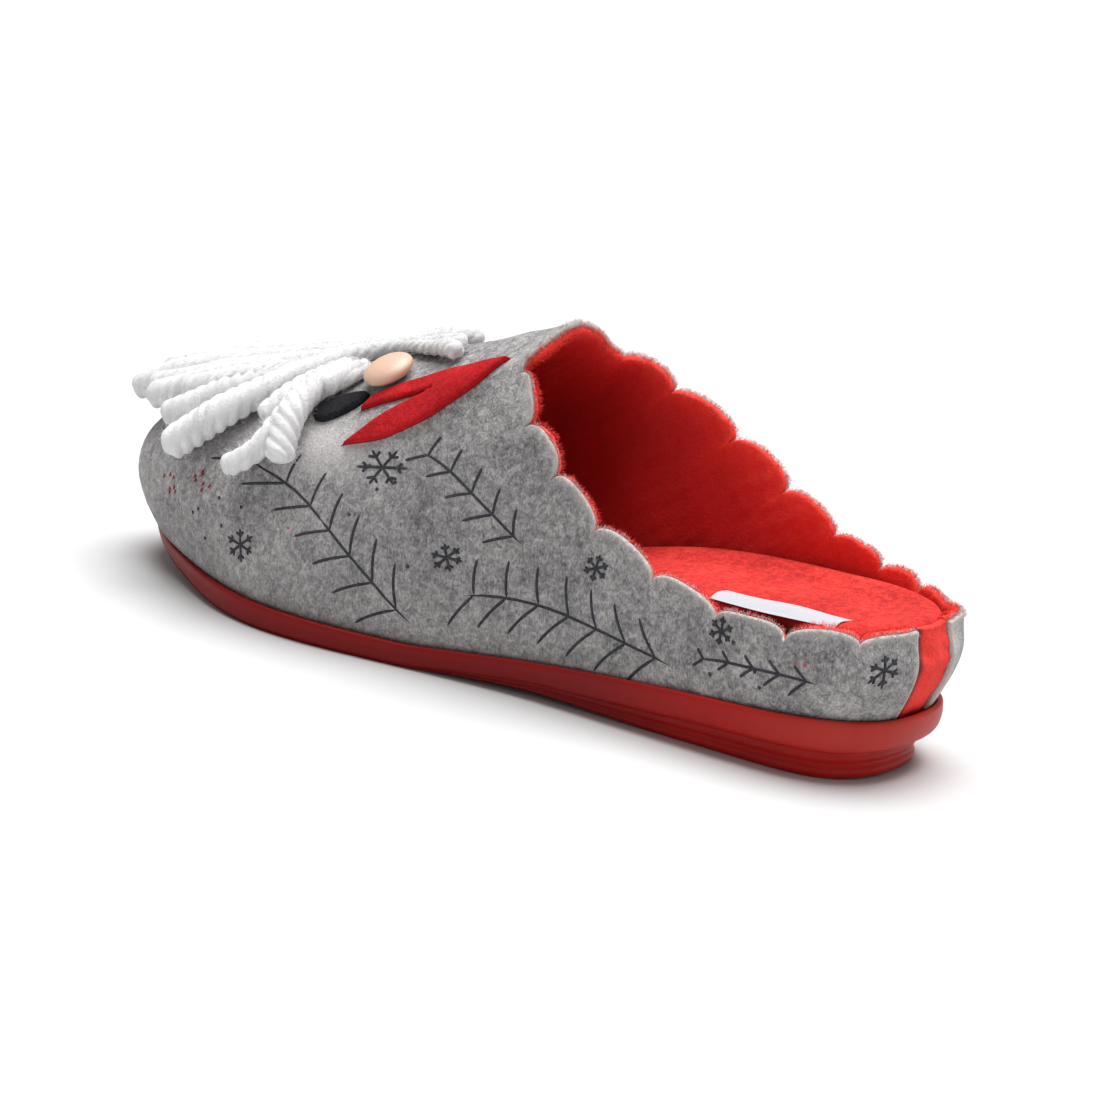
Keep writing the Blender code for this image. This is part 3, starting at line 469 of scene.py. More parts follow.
class Tone:
    """One output of a node in a material, for use in Python expressions."""

    def __init__(self, tree, socket=None):
        self.tree = tree
        self.socket = socket

    def feed(self, node, sockets):
        """Links tones to a node's sockets and sets the other values there."""
        for name, value in sockets.items():
            if isinstance(value, Tone):
                self.tree.links.new(value.socket, node.inputs[name])
            else:
                node.inputs[name].default_value = value

    def node(self, kind, sockets, out=0, **settings):
        """A node of this kind with its settings and sockets; gives one of its outputs."""
        made = self.tree.nodes.new("ShaderNode" + kind)
        for name, value in settings.items():
            setattr(made, name, value)
        self.feed(made, sockets)
        return Tone(self.tree, made.outputs[out])

    def math(self, operation, first, second=0.0):
        """A Math node with this operation."""
        return self.node("Math", {0: first, 1: second}, operation=operation)

    def __add__(self, other):
        return self.math("ADD", self, other)

    def __sub__(self, other):
        return self.math("SUBTRACT", self, other)

    def __rsub__(self, other):
        return self.math("SUBTRACT", other, self)

    def __mul__(self, other):
        return self.math("MULTIPLY", self, other)

    __radd__, __rmul__ = __add__, __mul__

    def sine(self, period):
        """A wave of this tone with that period."""
        return self.math("SINE", self * (TAU / period))

    def between(self, low, high):
        """0 below low, 1 above high, smooth between."""
        sockets = {"Value": self, "From Min": low, "From Max": high}
        return self.node("MapRange", sockets, interpolation_type="SMOOTHSTEP")

    def mix(self, first, second):
        """Colour mix by this tone: first where it is 0, second where it is 1."""
        return self.node("Mix", {0: self, 6: first, 7: second}, 2, data_type="RGBA")

    def ramp(self, *stops):
        """Colours at stops of this tone, blended between them."""
        made = self.node("ValToRGB", {"Fac": self})
        elements = made.socket.node.color_ramp.elements
        while len(elements) < len(stops):
            elements.new(1.0)
        for element, (position, shade) in zip(elements, stops):
            element.position, element.color = position, shade
        return made

    def mark(self, name):
        """A mark that the piece stores at its points."""
        return self.node("Attribute", {}, "Fac", attribute_name=name)

    def axis(self, name):
        """X, Y or Z of a tone that is a place."""
        return self.node("SeparateXYZ", {"Vector": self}, name)

    def noise(self, size, detail=2.0, rough=0.55, warp=0.0):
        """Cloudy noise at this place whose patches are about that many millimetres wide."""
        return self.node("TexNoise", {"Vector": self, "Scale": 1.0 / (size * MM), "Detail": detail,
                                      "Roughness": rough, "Distortion": warp})

    def fibres(self, size, turn, stretch):
        """Noise at this place drawn out along one direction, as fibres that lie that way."""
        drawn = self.node("Mapping", {"Vector": self, "Rotation": turn, "Scale": (stretch, stretch, 1.0)})
        return drawn.noise(size * stretch, 1.0)


def colour(red, green, blue):
    """A colour as seen on a screen, 0 to 255, as the light that the renderer works with."""
    share = np.array([red, green, blue]) / 255.0
    light = np.where(share <= 0.04045, share / 12.92, ((share + 0.055) / 1.055) ** 2.4)
    return (*light.tolist(), 1.0)


print("mid grey as light:", round(colour(121, 120, 120)[0], 3))

# %% [markdown]
# A finish starts as Blender's standard shader, with the place on the object as its first tone, and is
# closed by linking what was worked out. All finishes here use one set of links, so two helpers do.

# %% Start and close a material


def new_look(name):
    """A material with nothing but its shader; gives it and the place on the object, its first tone."""
    look = bpy.data.materials.new(name)
    look.use_nodes = True
    return look, Tone(look.node_tree).node("TexCoord", {}, "Object")


def close_look(look, base, roughness, height=None, depth=0.3, more=None):
    """Feeds colour, roughness, more sockets of the shader and a bump of that depth in millimetres."""
    start, shader = Tone(look.node_tree), look.node_tree.nodes["Principled BSDF"]
    start.feed(shader, {"Base Color": base, "Roughness": roughness, **(more or {})})
    if height is not None:
        bump = start.node("Bump", {"Height": height, "Strength": 1.0, "Distance": depth * MM})
        start.feed(shader, {"Normal": bump})
    return look


# %% [markdown]
# ## Grey felt
# Heathered felt is a mat of pale and dark wool fibres pressed together. Seen from a step away it is
# mottled in patches of a few millimetres; closer, single fibres cross each other. Three noises drawn out
# along different directions give the fibres, a cloudy noise gives the patches, and stray red fibres are
# caught in it. Marks say where the cut edge shows its pale core, where painted light makes a pale pool
# on the vamp's top by the fringe, where the felt is paler low down (all but the outer heel), and where
# painted shade darkens the hem by the sole.

# %% Felt look
FIBRE_TURNS = ((0.8, 0.2, 0.0), (-0.8, 0.9, 0.4), (1.5, -0.5, 1.9))
# The first is the pale paint for the painted light by the fringe and the paleness low down; stray fibres are
# red.
PALE_WASH_WHITE, STRAY_RED = colour(232, 228, 226), colour(190, 70, 70)


def felt_look(name, shades, specks=0.0, sheen=0.12):
    """Ramp from dark to pale by summed noises; then stray fibres, core, painted light, low paleness, painted
    shade.
    """
    dark, middle, pale, core = [colour(*shade) for shade in shades]
    look, at = new_look(name)
    drift, patches, grains = at.noise(14.0), at.noise(2.1, 3.0, 0.6, 0.7), at.noise(0.7)
    lines = [at.fibres(0.24, turn, 6.0) for turn in FIBRE_TURNS]
    web = lines[0] + lines[1] + lines[2]
    shade = (0.5 + 0.45 * (drift - 0.5) + 0.95 * (patches - 0.5) + 0.55 * (grains - 0.5)
             + 0.3 * (web - 1.5))
    base = shade.ramp((0.20, dark), (0.50, middle), (0.82, pale))
    cells = {"Vector": at, "Scale": 75.0}
    chosen = at.node("SeparateColor", {"Color": at.node("TexVoronoi", cells, "Color")}).between(0.72, 0.74)
    speck = (1 - at.node("TexVoronoi", cells).between(0.02, 0.055)) * chosen * specks
    base = speck.mix(base, STRAY_RED)
    base = (at.mark("cut") * (0.55 + 0.6 * grains)).mix(base, core)
    # Painted light: a pale pool on the vamp's top by the fringe, and a paler wash low down.
    base = (at.mark("painted_light_and_low_pale") * (0.35 + 0.7 * grains)).mix(base, PALE_WASH_WHITE)
    # Painted shade: the hem darkened where the felt meets the sole.
    base = (at.mark("painted_hem_shade") * 0.45).mix(base, dark)
    height = 0.5 * grains + 0.35 * web + 0.6 * patches
    return close_look(look, base, 0.95, height, 0.55, {
        "Sheen Weight": sheen, "Sheen Roughness": 0.6, "Specular IOR Level": 0.2})


GREY_SHADES = ((88, 87, 88), (145, 143, 143), (197, 194, 192), (212, 207, 202))
GREY_FELT = felt_look("grey_felt_heather", GREY_SHADES, specks=0.9)
print("finish:", GREY_FELT.name)

# %% [markdown]
# The wall is one profile carried round the collar: up the outer face, over the rounded cut edge and down
# the inner face. At the two ends by the heel slot the profile closes on the middle of the wall, which
# makes the cut end that shows there.

# %% Felt wall
FELT_THICKNESS, FELT_CROWN = 1.7, 0.7
STRIP_FROM, STRIP_TO = -9.4, 6.8
WALL_AROUND, EDGE_TURNS, CROWDING = 700, 11, 1.6


def slot_rows():
    """Rows where the collar line crosses the two edges of the heel slot."""
    near = np.linspace(0.0, 1.0, 201)
    first = np.interp(-STRIP_FROM, -wall_column("x", near), near)
    last = LAST_ROW - np.interp(STRIP_TO, wall_column("x", LAST_ROW - near), near)
    return float(first), float(last)


FIRST_ROW, FINAL_ROW = slot_rows()
NOTCH_ROWS = np.arange(0.5, LAST_ROW)
WALL_PLACES = np.unique(np.concatenate([np.linspace(FIRST_ROW, FINAL_ROW, WALL_AROUND), NOTCH_ROWS]))


def wall_skin(rows, lift, thickness, crown, rise, face_steps, back_steps):
    """Climb and depth at each row: face, half circle over the edge, back; the ends meet in the middle.
    Also gives each point's distance below the collar line."""
    up, down = [1 - (1 - np.linspace(0.0, 1.0, steps)) ** CROWDING for steps in (face_steps, back_steps)]
    turn = np.linspace(0.0, math.pi, EDGE_TURNS)[1:-1]
    share = np.concatenate([up, np.ones(len(turn)), down[::-1]])
    over = np.concatenate([0 * up, np.sin(turn), 0 * down])
    depth = -thickness * np.concatenate([0 * up, (1 - np.cos(turn)) / 2, np.ones(len(down))])
    rows = np.concatenate([rows[:1], rows, rows[-1:]])
    top = collar_climb(rows)
    speed = np.linalg.norm(wall_axes(rows, top)[1], axis=-1)
    ledge = (top + (rise(rows) - crown) / speed)[:, None]
    climb = ledge * share + (crown / speed)[:, None] * over
    lifts = np.repeat((lift + depth)[None], len(rows), axis=0)
    lifts[[0, -1]] = lift - thickness / 2
    return rows, climb, on_wall(rows[:, None], climb, lifts), (top[:, None] - climb) * speed[:, None]


def felt_rise(rows):
    """The lobes are cut by hand: a few tenths of a millimetre up and down, as two slow sines of the row."""
    return 0.22 * np.sin(rows * 3.1 + 0.4) + 0.12 * np.sin(rows * 7.7)


print("felt from row", round(FIRST_ROW, 2), "to", round(FINAL_ROW, 2))

# %% [markdown]
# The marks are worked out in millimetres: a row is about 22 mm long, the wall at the side about 60 mm
# high and the vamp about 150 mm. The core shows at the collar and at both ends by the slot.

# %% Felt piece and its marks
ROW_MM, SIDE_MM, VAMP_MM = 22.0, 60.0, 150.0
# Place and reach of the painted light on the vamp's top, and how far up the felt is paler low down
LIT_PATCH_ROW, LIT_PATCH_CLIMB, LIT_PATCH_REACH, LOW_PALE_REACH = 9.42, 0.52, math.sqrt(190.0), 13.0
# The last is the width of the painted shade along the hem.
CORE_REACH, OUTER_CORE, INNER_CORE, HEM_SHADE_REACH = 1.1, 0.5, 5.0, 1.6
FELT_EDGE = (0.0, FELT_THICKNESS, FELT_CROWN, felt_rise)
rows, climb, skin, below = wall_skin(WALL_PLACES, *FELT_EDGE, 56, 14)
below = np.clip(below + felt_rise(rows)[:, None], 0, None)
outer_end, inner_end = (rows - FIRST_ROW)[:, None] * ROW_MM, (FINAL_ROW - rows)[:, None] * ROW_MM
cut = bell(below, CORE_REACH, 1) + bell(outer_end, OUTER_CORE, 1) + bell(inner_end, INNER_CORE, 1)
from_lit_patch = np.hypot(((rows - LIT_PATCH_ROW) * ROW_MM)[:, None], (climb - LIT_PATCH_CLIMB) * VAMP_MM)
low_pale = 0.17 * bell(climb * SIDE_MM, LOW_PALE_REACH, 1) * np.clip((rows - 3.0) / 3.0, 0, 1)[:, None]
# Marks: pale core at the cuts, painted shade at the hem, painted light by the fringe, paleness low down
add_piece("upper_felt", skin, GREY_FELT, ("upper",), {
    "cut": np.clip(cut, 0, 1), "painted_hem_shade": bell(climb * SIDE_MM, HEM_SHADE_REACH, 1),
    "painted_light_and_low_pale": bell(from_lit_patch, LIT_PATCH_REACH) + low_pale})

# %% [markdown]
# ## Fleece lining
# The lining is a thick brushed fleece glued to the felt. It is the same profile one felt thickness
# further in, with a rounder, fluffier edge that stands a little above the felt in places. Its red is
# clear, and its rim is painted brighter, a painted highlight where light catches the edge. Little light
# reaches deep into a shoe, and the wide sky of this scene gives it too much, so two marks paint shade:
# `deep` darkens the fleece below the rim, and a second mark darkens the pocket between wall and
# footbed beside the heel.

# %% Fleece look
# Painted shade: deep in the shoe, on the footbed's side, and in pockets and along the strip's edges.
DEEP_RED, SIDE_SHADE_RED, SHADE_DARK_RED = colour(166, 12, 16), colour(206, 14, 44), colour(34, 5, 7)


def fleece_look(name, shades, clump, depth, contrast):
    """Ramp from dark to pale by tufts, fine pile and rubbed places, then the marks' colours over it."""
    dark, middle, pale, rim = [colour(*shade) for shade in shades]
    look, at = new_look(name)
    tufts, fine, rub = at.noise(clump, 3.0, 0.6, 0.4), at.noise(clump * 0.28), at.noise(clump * 9.0)
    shade = 0.5 + contrast * (0.9 * (tufts - 0.5) + 0.6 * (fine - 0.5) + 0.5 * (rub - 0.5))
    base = shade.ramp((0.2, dark), (0.5, middle), (0.85, pale))
    base = (at.mark("deep") * 0.8).mix(base, DEEP_RED)
    # Painted highlight: the brighter rim colour on the lining's cut edge.
    base = (at.mark("cut") * (0.6 + 0.5 * fine)).mix(base, rim)
    # Painted shade on the footbed's side.
    base = (at.mark("side") * 0.7).mix(base, SIDE_SHADE_RED)
    # Painted shade in the pockets and along the strip's edges.
    base = at.mark("painted_shade").mix(base, SHADE_DARK_RED)
    return close_look(look, base, 0.95, tufts + 0.5 * fine, depth, {
        "Sheen Weight": 0.15, "Sheen Roughness": 0.5, "Sheen Tint": pale})


# The last shade is the rim's colour, a painted highlight.
LINING_RED = fleece_look("lining_fleece", ((206, 24, 24), (238, 42, 35), (250, 54, 45), (255, 76, 63)),
                         1.2, 0.4, 0.6)
print("finish:", LINING_RED.name)

# %% Lining piece
LINING_THICKNESS, LINING_CROWN, GLUE = 1.9, 0.9, 0.05
RIM_REACH, DEEP_REACH, DARK_UP_TO_ROW, POCKET_ROW = 2.3, 11.0, 19.5, 2.6


def lining_rise(rows):
    """Above the felt at the heel, below it along the outer side, level at the throat; small tufts."""
    shape = through_rows(rows, (0.0, 1.0, 2.1, 2.7, 5.5, 7.2, 11.0, 14.0, 22.0),
                         (0.3, 0.5, 0.4, -1.0, -0.9, 0.1, 0.1, 0.5, 0.5))
    return shape + 0.1 * np.sin(rows * 9.0) + 0.08 * np.sin(rows * 23.0 + 1.0)


LINING_EDGE = (-FELT_THICKNESS - GLUE, LINING_THICKNESS, LINING_CROWN, lining_rise)
rows, climb, skin, below = wall_skin(WALL_PLACES, *LINING_EDGE, 10, 44)
nap = ripples(skin, (0.16, 5.0, 7), (0.1, 2.4, 8))
skin = skin - wall_axes(rows[:, None], climb)[2] * nap[..., None]
below = np.clip(below, 0, None)
shade = np.clip((DARK_UP_TO_ROW - rows) / 3.2, 0.03, 1.0)[:, None]
# Painted shade in the pocket beside the heel, below the rim.
pocket = bell(rows - POCKET_ROW, 0.9, 4)[:, None] * np.clip((below - 1.5) / 3.0, 0, 1)
# The rim mark paints a highlight on the cut edge; the others paint shade.
add_piece("lining", skin, LINING_RED, (), {
    "cut": bell(below, RIM_REACH, 1), "deep": shade * (1 - bell(below, DEEP_REACH, 1)), "painted_shade": pocket})

# %% [markdown]
# ## Rubber sole
# The sole is moulded in one piece: a stepped lower heel with two ribs, a band with a rounded shoulder and
# a low lip round the seat. The profile's levels are rings round the outline; cutting their corners twice
# rounds them as a mould does. Both ends close on the sole's middle line.

# %% Sole rings
# share of the height and inset of each level; the band's inset is a share of the heel's step, plus a size
LOWER_PROFILE = ((0.00, 1.5), (0.08, 0.4), (0.28, 0.0), (0.45, 0.8), (0.53, 0.8), (0.70, 0.0), (0.92, 0.4))
BAND_PROFILE = ((0.00, 0.80, 0.2), (0.05, 0.42, 0.2), (0.24, 0.06, 0.4), (0.58, 0.0, 0.0), (0.90, 0.0, 0.2),
                (1.00, 0.0, 0.6))
TOE_TUCK, SPINE_CLEAR, SOLE_AROUND, RINGS_INWARD = 2.6, 30.0, 420, 14


def middle_line(at, clear):
    """Halfway point between the two edges at this distance from the heel, kept clear of both ends."""
    y = np.clip(edge_curve(at)[..., 1], clear, SOLE_LENGTH - clear)
    outer, inner = on_halves(y, DENSE_EDGE[:, 0])
    return np.stack([(outer + inner) / 2, y], axis=-1)


def cut_corners(levels, times):
    """Each round puts two points on every stretch between levels, at a quarter and at three quarters."""
    for _ in range(times):
        near = levels[:-1] * 0.75 + levels[1:] * 0.25
        far = levels[:-1] * 0.25 + levels[1:] * 0.75
        between = np.stack([near, far], axis=1).reshape((-1,) + levels.shape[1:])
        levels = np.concatenate([levels[:1], between, levels[-1:]])
    return levels


def sole_skin(at):
    """Rings of height and inset from both profiles, rounded, tucked in under the toe, closed on the middle
    line; also says which rings are underneath."""
    y = edge_curve(at)[:, 1]
    top, under, lower, step = [sole_column(name, y) for name in SOLE_COLUMNS[1:]]
    ribs = np.maximum(lower / lower.max(), 0.35)
    rings = [(under + h * lower, step + inset * ribs) for h, inset in LOWER_PROFILE]
    rings += [(under + lower + h * (top - under - lower), step * s + inset) for h, s, inset in BAND_PROFILE]
    rings += [(top, LIP_WIDTH), (top - LIP_HEIGHT, LIP_WIDTH + 0.2)]
    tuck = TOE_TUCK * through_rows(y, (0.0, 190.0, 228.0, 250.0, 260.0), (0.0, 0.0, 0.5, 1.0, 1.0))
    side = cut_corners(np.stack([raised(outline(at, inset + tuck), z) for z, inset in rings]), 2)
    spine = middle_line(at, SPINE_CLEAR)
    inward = np.linspace(1.0, 0.0, RINGS_INWARD, endpoint=False)[:, None, None]
    low = raised(spine, sole_column("under", spine[:, 1])) * inward + side[0] * (1 - inward)
    low[..., 2] = np.maximum(sole_column("under", low[..., 1]), 0.0)
    inward = inward[::-1]
    seat = raised(spine, sole_column("top", spine[:, 1]) - LIP_HEIGHT) * inward + side[-1] * (1 - inward)
    return np.concatenate([low, side, seat]), np.repeat([1.0, 0.0], [len(low), len(side) + len(seat)])


sole_rings, is_under = sole_skin(np.linspace(0.0, 1.0, SOLE_AROUND, endpoint=False))
print("sole rings:", len(sole_rings))

# %% [markdown]
# The rubber is a satin red with a faint mould grain. A painted sheen lies in patches on the back of the
# heel, painted shade darkens the band ahead of the heel, it is dusty low down, and the underside has a
# fine ribbed tread that is only bump.

# %% Rubber look and piece
TREAD_PITCH = 0.0042
# Painted sheen for the back of the heel and painted shade for the band ahead of it; then dust.
HEEL_SHEEN, WAIST_SHADE, DUST = colour(190, 66, 56), colour(122, 12, 10), colour(150, 82, 74)


def rubber_look():
    """Cloudy red, dust low down, painted shade ahead of the heel, painted sheen at its back, tread
    underneath.
    """
    look, at = new_look("red_rubber_moulded")
    cloud, grain, smear = at.noise(22.0, 3.0), at.noise(0.5), at.noise(7.0, 4.0, 0.6)
    along, z = at.axis("Y"), at.axis("Z")
    dust = ((1 - z.between(0.0, 0.010)) * (0.25 + cloud) * smear.between(0.5, 0.75)) * 0.3
    # Painted sheen on the back of the heel band, in patches by the smear noise.
    heel_sheen = (1 - along.between(-0.122, -0.085)) * z.between(0.006, 0.010) * (0.2 + 0.5 * smear)
    base = cloud.ramp((0.3, colour(158, 19, 14)), (0.55, colour(174, 25, 18)), (0.8, colour(184, 34, 25)))
    base = dust.mix(base, DUST)
    # Painted shade on the band ahead of the heel, under the felt's overhang.
    base = (along.between(-0.09, -0.04) * 0.9).mix(base, WAIST_SHADE)
    base = heel_sheen.mix(base, HEEL_SHEEN)
    tread = along.sine(TREAD_PITCH).between(-0.3, 0.3) * at.mark("under")
    rough = 0.42 + 0.22 * (smear - 0.5) + 0.3 * dust + 0.12 * (grain - 0.5)
    return close_look(look, base, rough, 0.12 * grain + 1.6 * tread, 0.5, {"Specular IOR Level": 0.2})


add_piece("sole", sole_rings, rubber_look(), ("outsole",), {"under": is_under[:, None]})

# %% [markdown]
# ## Padded footbed
# A foam wedge under a red brushed cover. Its edge is a roll, its middle is dished by the foot, and the
# cover has small puckers. The rings follow the outline as those of the solid do, with puckers as waves on
# top.

# %% Footbed rings
WALL_THICKNESS, WALL_CLEARANCE = 3.2, 0.8
FOOTBED_INSET = FELT_INSET + WALL_THICKNESS + WALL_CLEARANCE
# share of the length, height, inset from the sole's outline
FOOTBED = np.array([
    (0.000, 42.0, 2.0), (0.012, 42.0, 3.3), (0.055, 42.0, 4.8), (0.100, 42.0, 5.6),
    (0.160, 41.6, FOOTBED_INSET), (0.250, 40.6, FOOTBED_INSET),
    (0.320, 38.6, FOOTBED_INSET), (0.380, 35.2, FOOTBED_INSET),
    (0.440, 30.8, FOOTBED_INSET), (0.520, 24.0, FOOTBED_INSET), (0.600, 18.0, FOOTBED_INSET),
    (0.680, 15.4, FOOTBED_INSET), (0.800, 15.8, FOOTBED_INSET), (0.920, 18.0, FOOTBED_INSET),
    (1.000, 20.5, FOOTBED_INSET)])
# drop and inset of the roll's levels
FOOTBED_EDGE = ((3.4, 0.2), (1.4, 0.5), (0.35, 1.8), (0.0, 4.2))
FOOTBED_DISH, DISH_REACH, FOOTBED_SPINE_CLEAR = 2.0, 10.5, 34.0
DRAW_IN, DRAW_AT, DRAW_REACH = 2.6, 33.0, 10.0
EDGE_SAG, SAG_AT, SAG_REACH, POCKET_REACH = 2.2, 36.0, 32.0, 18.0


def footbed_height(y):
    """The table's height at a distance from the heel."""
    return through_rows(y / SOLE_LENGTH, FOOTBED[:, 0], FOOTBED[:, 1])


def footbed_inset(at):
    """The table's distance from the outline, plus a shallow draw-in beside the outer wall by the label."""
    x, y = np.moveaxis(edge_curve(at), -1, 0)
    drawn = DRAW_IN * bell(y - DRAW_AT, DRAW_REACH) * (x < 0)
    return through_rows(y / SOLE_LENGTH, FOOTBED[:, 0], FOOTBED[:, 2]) + drawn


def footbed_sag(plan, inside):
    """Depth of the dish, which grows from the roll inward, plus an outer edge that sags by the label."""
    across = np.clip((-plan[..., 0] - 4.0) / 20.0, 0, 1)
    sag = EDGE_SAG * bell(plan[..., 1] - SAG_AT, SAG_REACH) * soft_step(across)
    return FOOTBED_DISH * soft_step(inside) + sag


def footbed_top(at, share):
    """From the roll at share 0 to the middle line at share 1, less the sag, with slow and quick waves."""
    rim = outline(at, footbed_inset(at) + FOOTBED_EDGE[-1][1])
    plan = rim * (1 - share)[..., None] + middle_line(at, FOOTBED_SPINE_CLEAR) * share[..., None]
    inside = np.clip(np.linalg.norm(plan - rim, axis=-1) / DISH_REACH, 0, 1)
    puckers = ripples(raised(plan, 0 * inside), (0.30, 17.0, 11), (0.14, 6.0, 12)) * inside
    return raised(plan, footbed_height(plan[..., 1]) - footbed_sag(plan, inside) + puckers)


def footbed_skin(at):
    """The wedge's floor, foot and side, the roll with cut corners, then the top; also how far each ring is
    down the side, from 1 to 0."""
    foot, spine = outline(at, FOOTBED_INSET + 0.2), middle_line(at, FOOTBED_SPINE_CLEAR)
    rings = [raised(foot, seat_height(foot[:, 1]))]
    for drop, inset in FOOTBED_EDGE:
        plan = outline(at, footbed_inset(at) + inset)
        z = footbed_height(plan[:, 1]) - drop - footbed_sag(plan, np.zeros(at.shape))
        rings.append(raised(plan, z))
    floor = raised(spine, seat_height(spine[:, 1]))
    top = footbed_top(*np.broadcast_arrays(at, np.linspace(0.0, 1.0, 34)[1:, None]))
    side = cut_corners(np.stack(rings), 2)
    steep = np.linspace(1.6, -0.3, len(side)).clip(0, 1)
    return np.concatenate([floor[None], side, top]), np.concatenate([[1.0], steep, np.zeros(len(top))])


# %% [markdown]
# The cover is the same kind of cloth as the lining, with larger clumps. Its side is painted a deeper red
# as painted shade on the roll (the mark `side`), and a second mark paints shade in the pocket where no
# light gets between its outer side and the wall.

# %% Footbed piece
FOOTBED_RED = fleece_look("footbed_cover", ((172, 22, 17), (203, 38, 30), (222, 60, 50), (228, 68, 57)),
                          2.0, 0.85, 1.7)
footbed_at = np.linspace(0.0, 1.0, 360, endpoint=False)
skin, roll = footbed_skin(footbed_at)
x, y = edge_curve(footbed_at).T
# Painted shade: the roll's side, and the pocket by the outer wall near the label.
pocket = roll[:, None] ** 2 * (bell(y - SAG_AT, POCKET_REACH, 4) * (x < 0))
footbed = add_piece("footbed", skin, FOOTBED_RED, ("insole",),
                    {"side": roll[:, None], "painted_shade": pocket})

# %% [markdown]
# ## Blank label
# A small white woven label lies along the outer edge of the footbed. It carries nothing. It is a sheet
# that follows the footbed's top half a millimetre above it; it is stiff, so it doesn't bend far down over
# the roll.

# %% Label
LABEL_CORNERS = np.array([[(-24.9, 53.4), (-14.5, 54.4)], [(-22.2, 17.6), (-11.8, 18.2)]])
THREAD, LABEL_LIFT, LABEL_BEND = 0.0005, 0.45, 0.6


def label_sheet(count_long, count_wide):
    """Straight lines between the corners in plan; its height is the footbed's, from the roll's formula."""
    u, v = np.meshgrid(np.linspace(0, 1, count_long), np.linspace(0, 1, count_wide), indexing="ij")
    weights = np.stack([(1 - u) * (1 - v), (1 - u) * v, u * (1 - v), u * v], axis=-1)
    plan = weights @ LABEL_CORNERS.reshape(4, 2)
    outer, at = [on_halves(plan[..., 1], values)[0] for values in (DENSE_EDGE[:, 0], DENSE)]
    from_edge = plan[..., 0] - outer - footbed_inset(at)
    drops, insets = np.array(FOOTBED_EDGE).T
    roll = np.minimum(np.interp(from_edge, insets, drops), LABEL_BEND)
    inside = np.clip((from_edge - insets[-1]) / DISH_REACH, 0, 1)
    return raised(plan, footbed_height(plan[..., 1]) - roll - footbed_sag(plan, inside) + LABEL_LIFT)


def label_look():
    """Threads that cross, as a product of two sines."""
    look, at = new_look("white_label")
    threads = at.axis("X").sine(THREAD) * at.axis("Y").sine(THREAD)
    base = (0.5 + 0.3 * threads).mix(colour(178, 178, 185), colour(194, 194, 200))
    return close_look(look, base, 0.7 + 0.1 * (at.noise(1.2) - 0.5), threads, 0.05)


label = add_piece("label", label_sheet(60, 20), label_look(), tube=False, closed=False)

# %% [markdown]
# ## Heel strip
# Between the two cut ends of the felt the red cover of the inside shows as a strip, sunk a little and
# slightly puckered. It is a grid over the strip's rows and climb with a few cross folds in its depth.
# Its two edges carry painted shadow from the felt's cut ends.

# %% Heel strip
STRIP_SINK, STRIP_DEPTH, STRIP_GAP = 1.1, 1.8, 0.016
STRIP_WIDTH = STRIP_TO - STRIP_FROM


def strip_skin(count_round, count_up):
    """Outer and inner face of the strip, closed at all edges; folds are waves across the climb."""
    turn = np.linspace(FINAL_ROW - LAST_ROW + STRIP_GAP, FIRST_ROW - STRIP_GAP, count_round)
    row, climb = np.meshgrid(turn, np.linspace(0.0, 1.0, count_up), indexing="ij")
    middle = wall_face(row, climb)
    folds = 0.3 * np.sin(climb * 17.0 + 2.6 * waves(middle, 16.0, 21)) * np.sin(math.pi * climb)
    folds = folds + 0.24 * waves(middle, 8.0, 22)
    outside = on_wall(row, climb, -STRIP_SINK + folds)
    inside = on_wall(row, climb, -STRIP_SINK - STRIP_DEPTH)
    inside[:, 0, 2] = outside[:, 0, 2]
    ends = (outside + inside) / 2
    loop = np.concatenate([outside, inside[:, ::-1]], axis=1)
    cap = np.concatenate([ends, ends[:, ::-1]], axis=1)
    return np.concatenate([cap[:1], loop, cap[-1:]])


STRIP_RED = fleece_look("strip_cloth", ((216, 36, 31), (248, 58, 48), (255, 82, 70), (255, 82, 70)),
                        0.9, 0.45, 0.9)
skin = strip_skin(40, 40)
across = np.linspace(0.0, 1.0, len(skin))[:, None] * STRIP_WIDTH
# Painted shadow of the felt's cut ends: dark along the outer edge, fainter along the inner one.
painted_shade = 0.9 * bell(STRIP_WIDTH - across, 3.0, 4) + 0.5 * bell(across, 0.6)
add_piece("heel_strip_cloth", skin, STRIP_RED, ("heel_strip",), {"painted_shade": painted_shade})

# %% [markdown]
# ## Felt trims
# The red trim with two points and the black oval are die cut from felt and glued on. Their edges round
# down to the grey felt within a millimetre, so a trim is the wall's own surface lifted by a height that
# grows with the distance from its border.

# %% Trim shapes
TRIM_THICKNESS, TRIM_ROUND = 1.4, 1.1
# row and climb of points along the red trim's edges and at its crotch, and of the oval's middle and axes
TAIL_UPPER_EDGE = np.array([(9.29, 0.950), (9.60, 0.880), (9.73, 0.795), (9.71, 0.720), (9.52, 0.649)])
TAIL_LOWER_EDGE = np.array([(9.21, 0.948), (8.84, 0.872), (8.68, 0.752), (8.78, 0.630), (9.13, 0.533)])
TAIL_CROTCH = np.array([9.29, 0.795])
PATCH_MIDDLE, PATCH_LONG, PATCH_SHORT = (9.745, 0.636), (0.052, 0.063), (0.160, 0.009)


def trim_edge(points, share):
    """Row and climb along a trim's edge, smooth through its points."""
    knots = np.linspace(0.0, 1.0, len(points))
    return np.stack([through_rows(share, knots, column) for column in points.T], axis=-1)


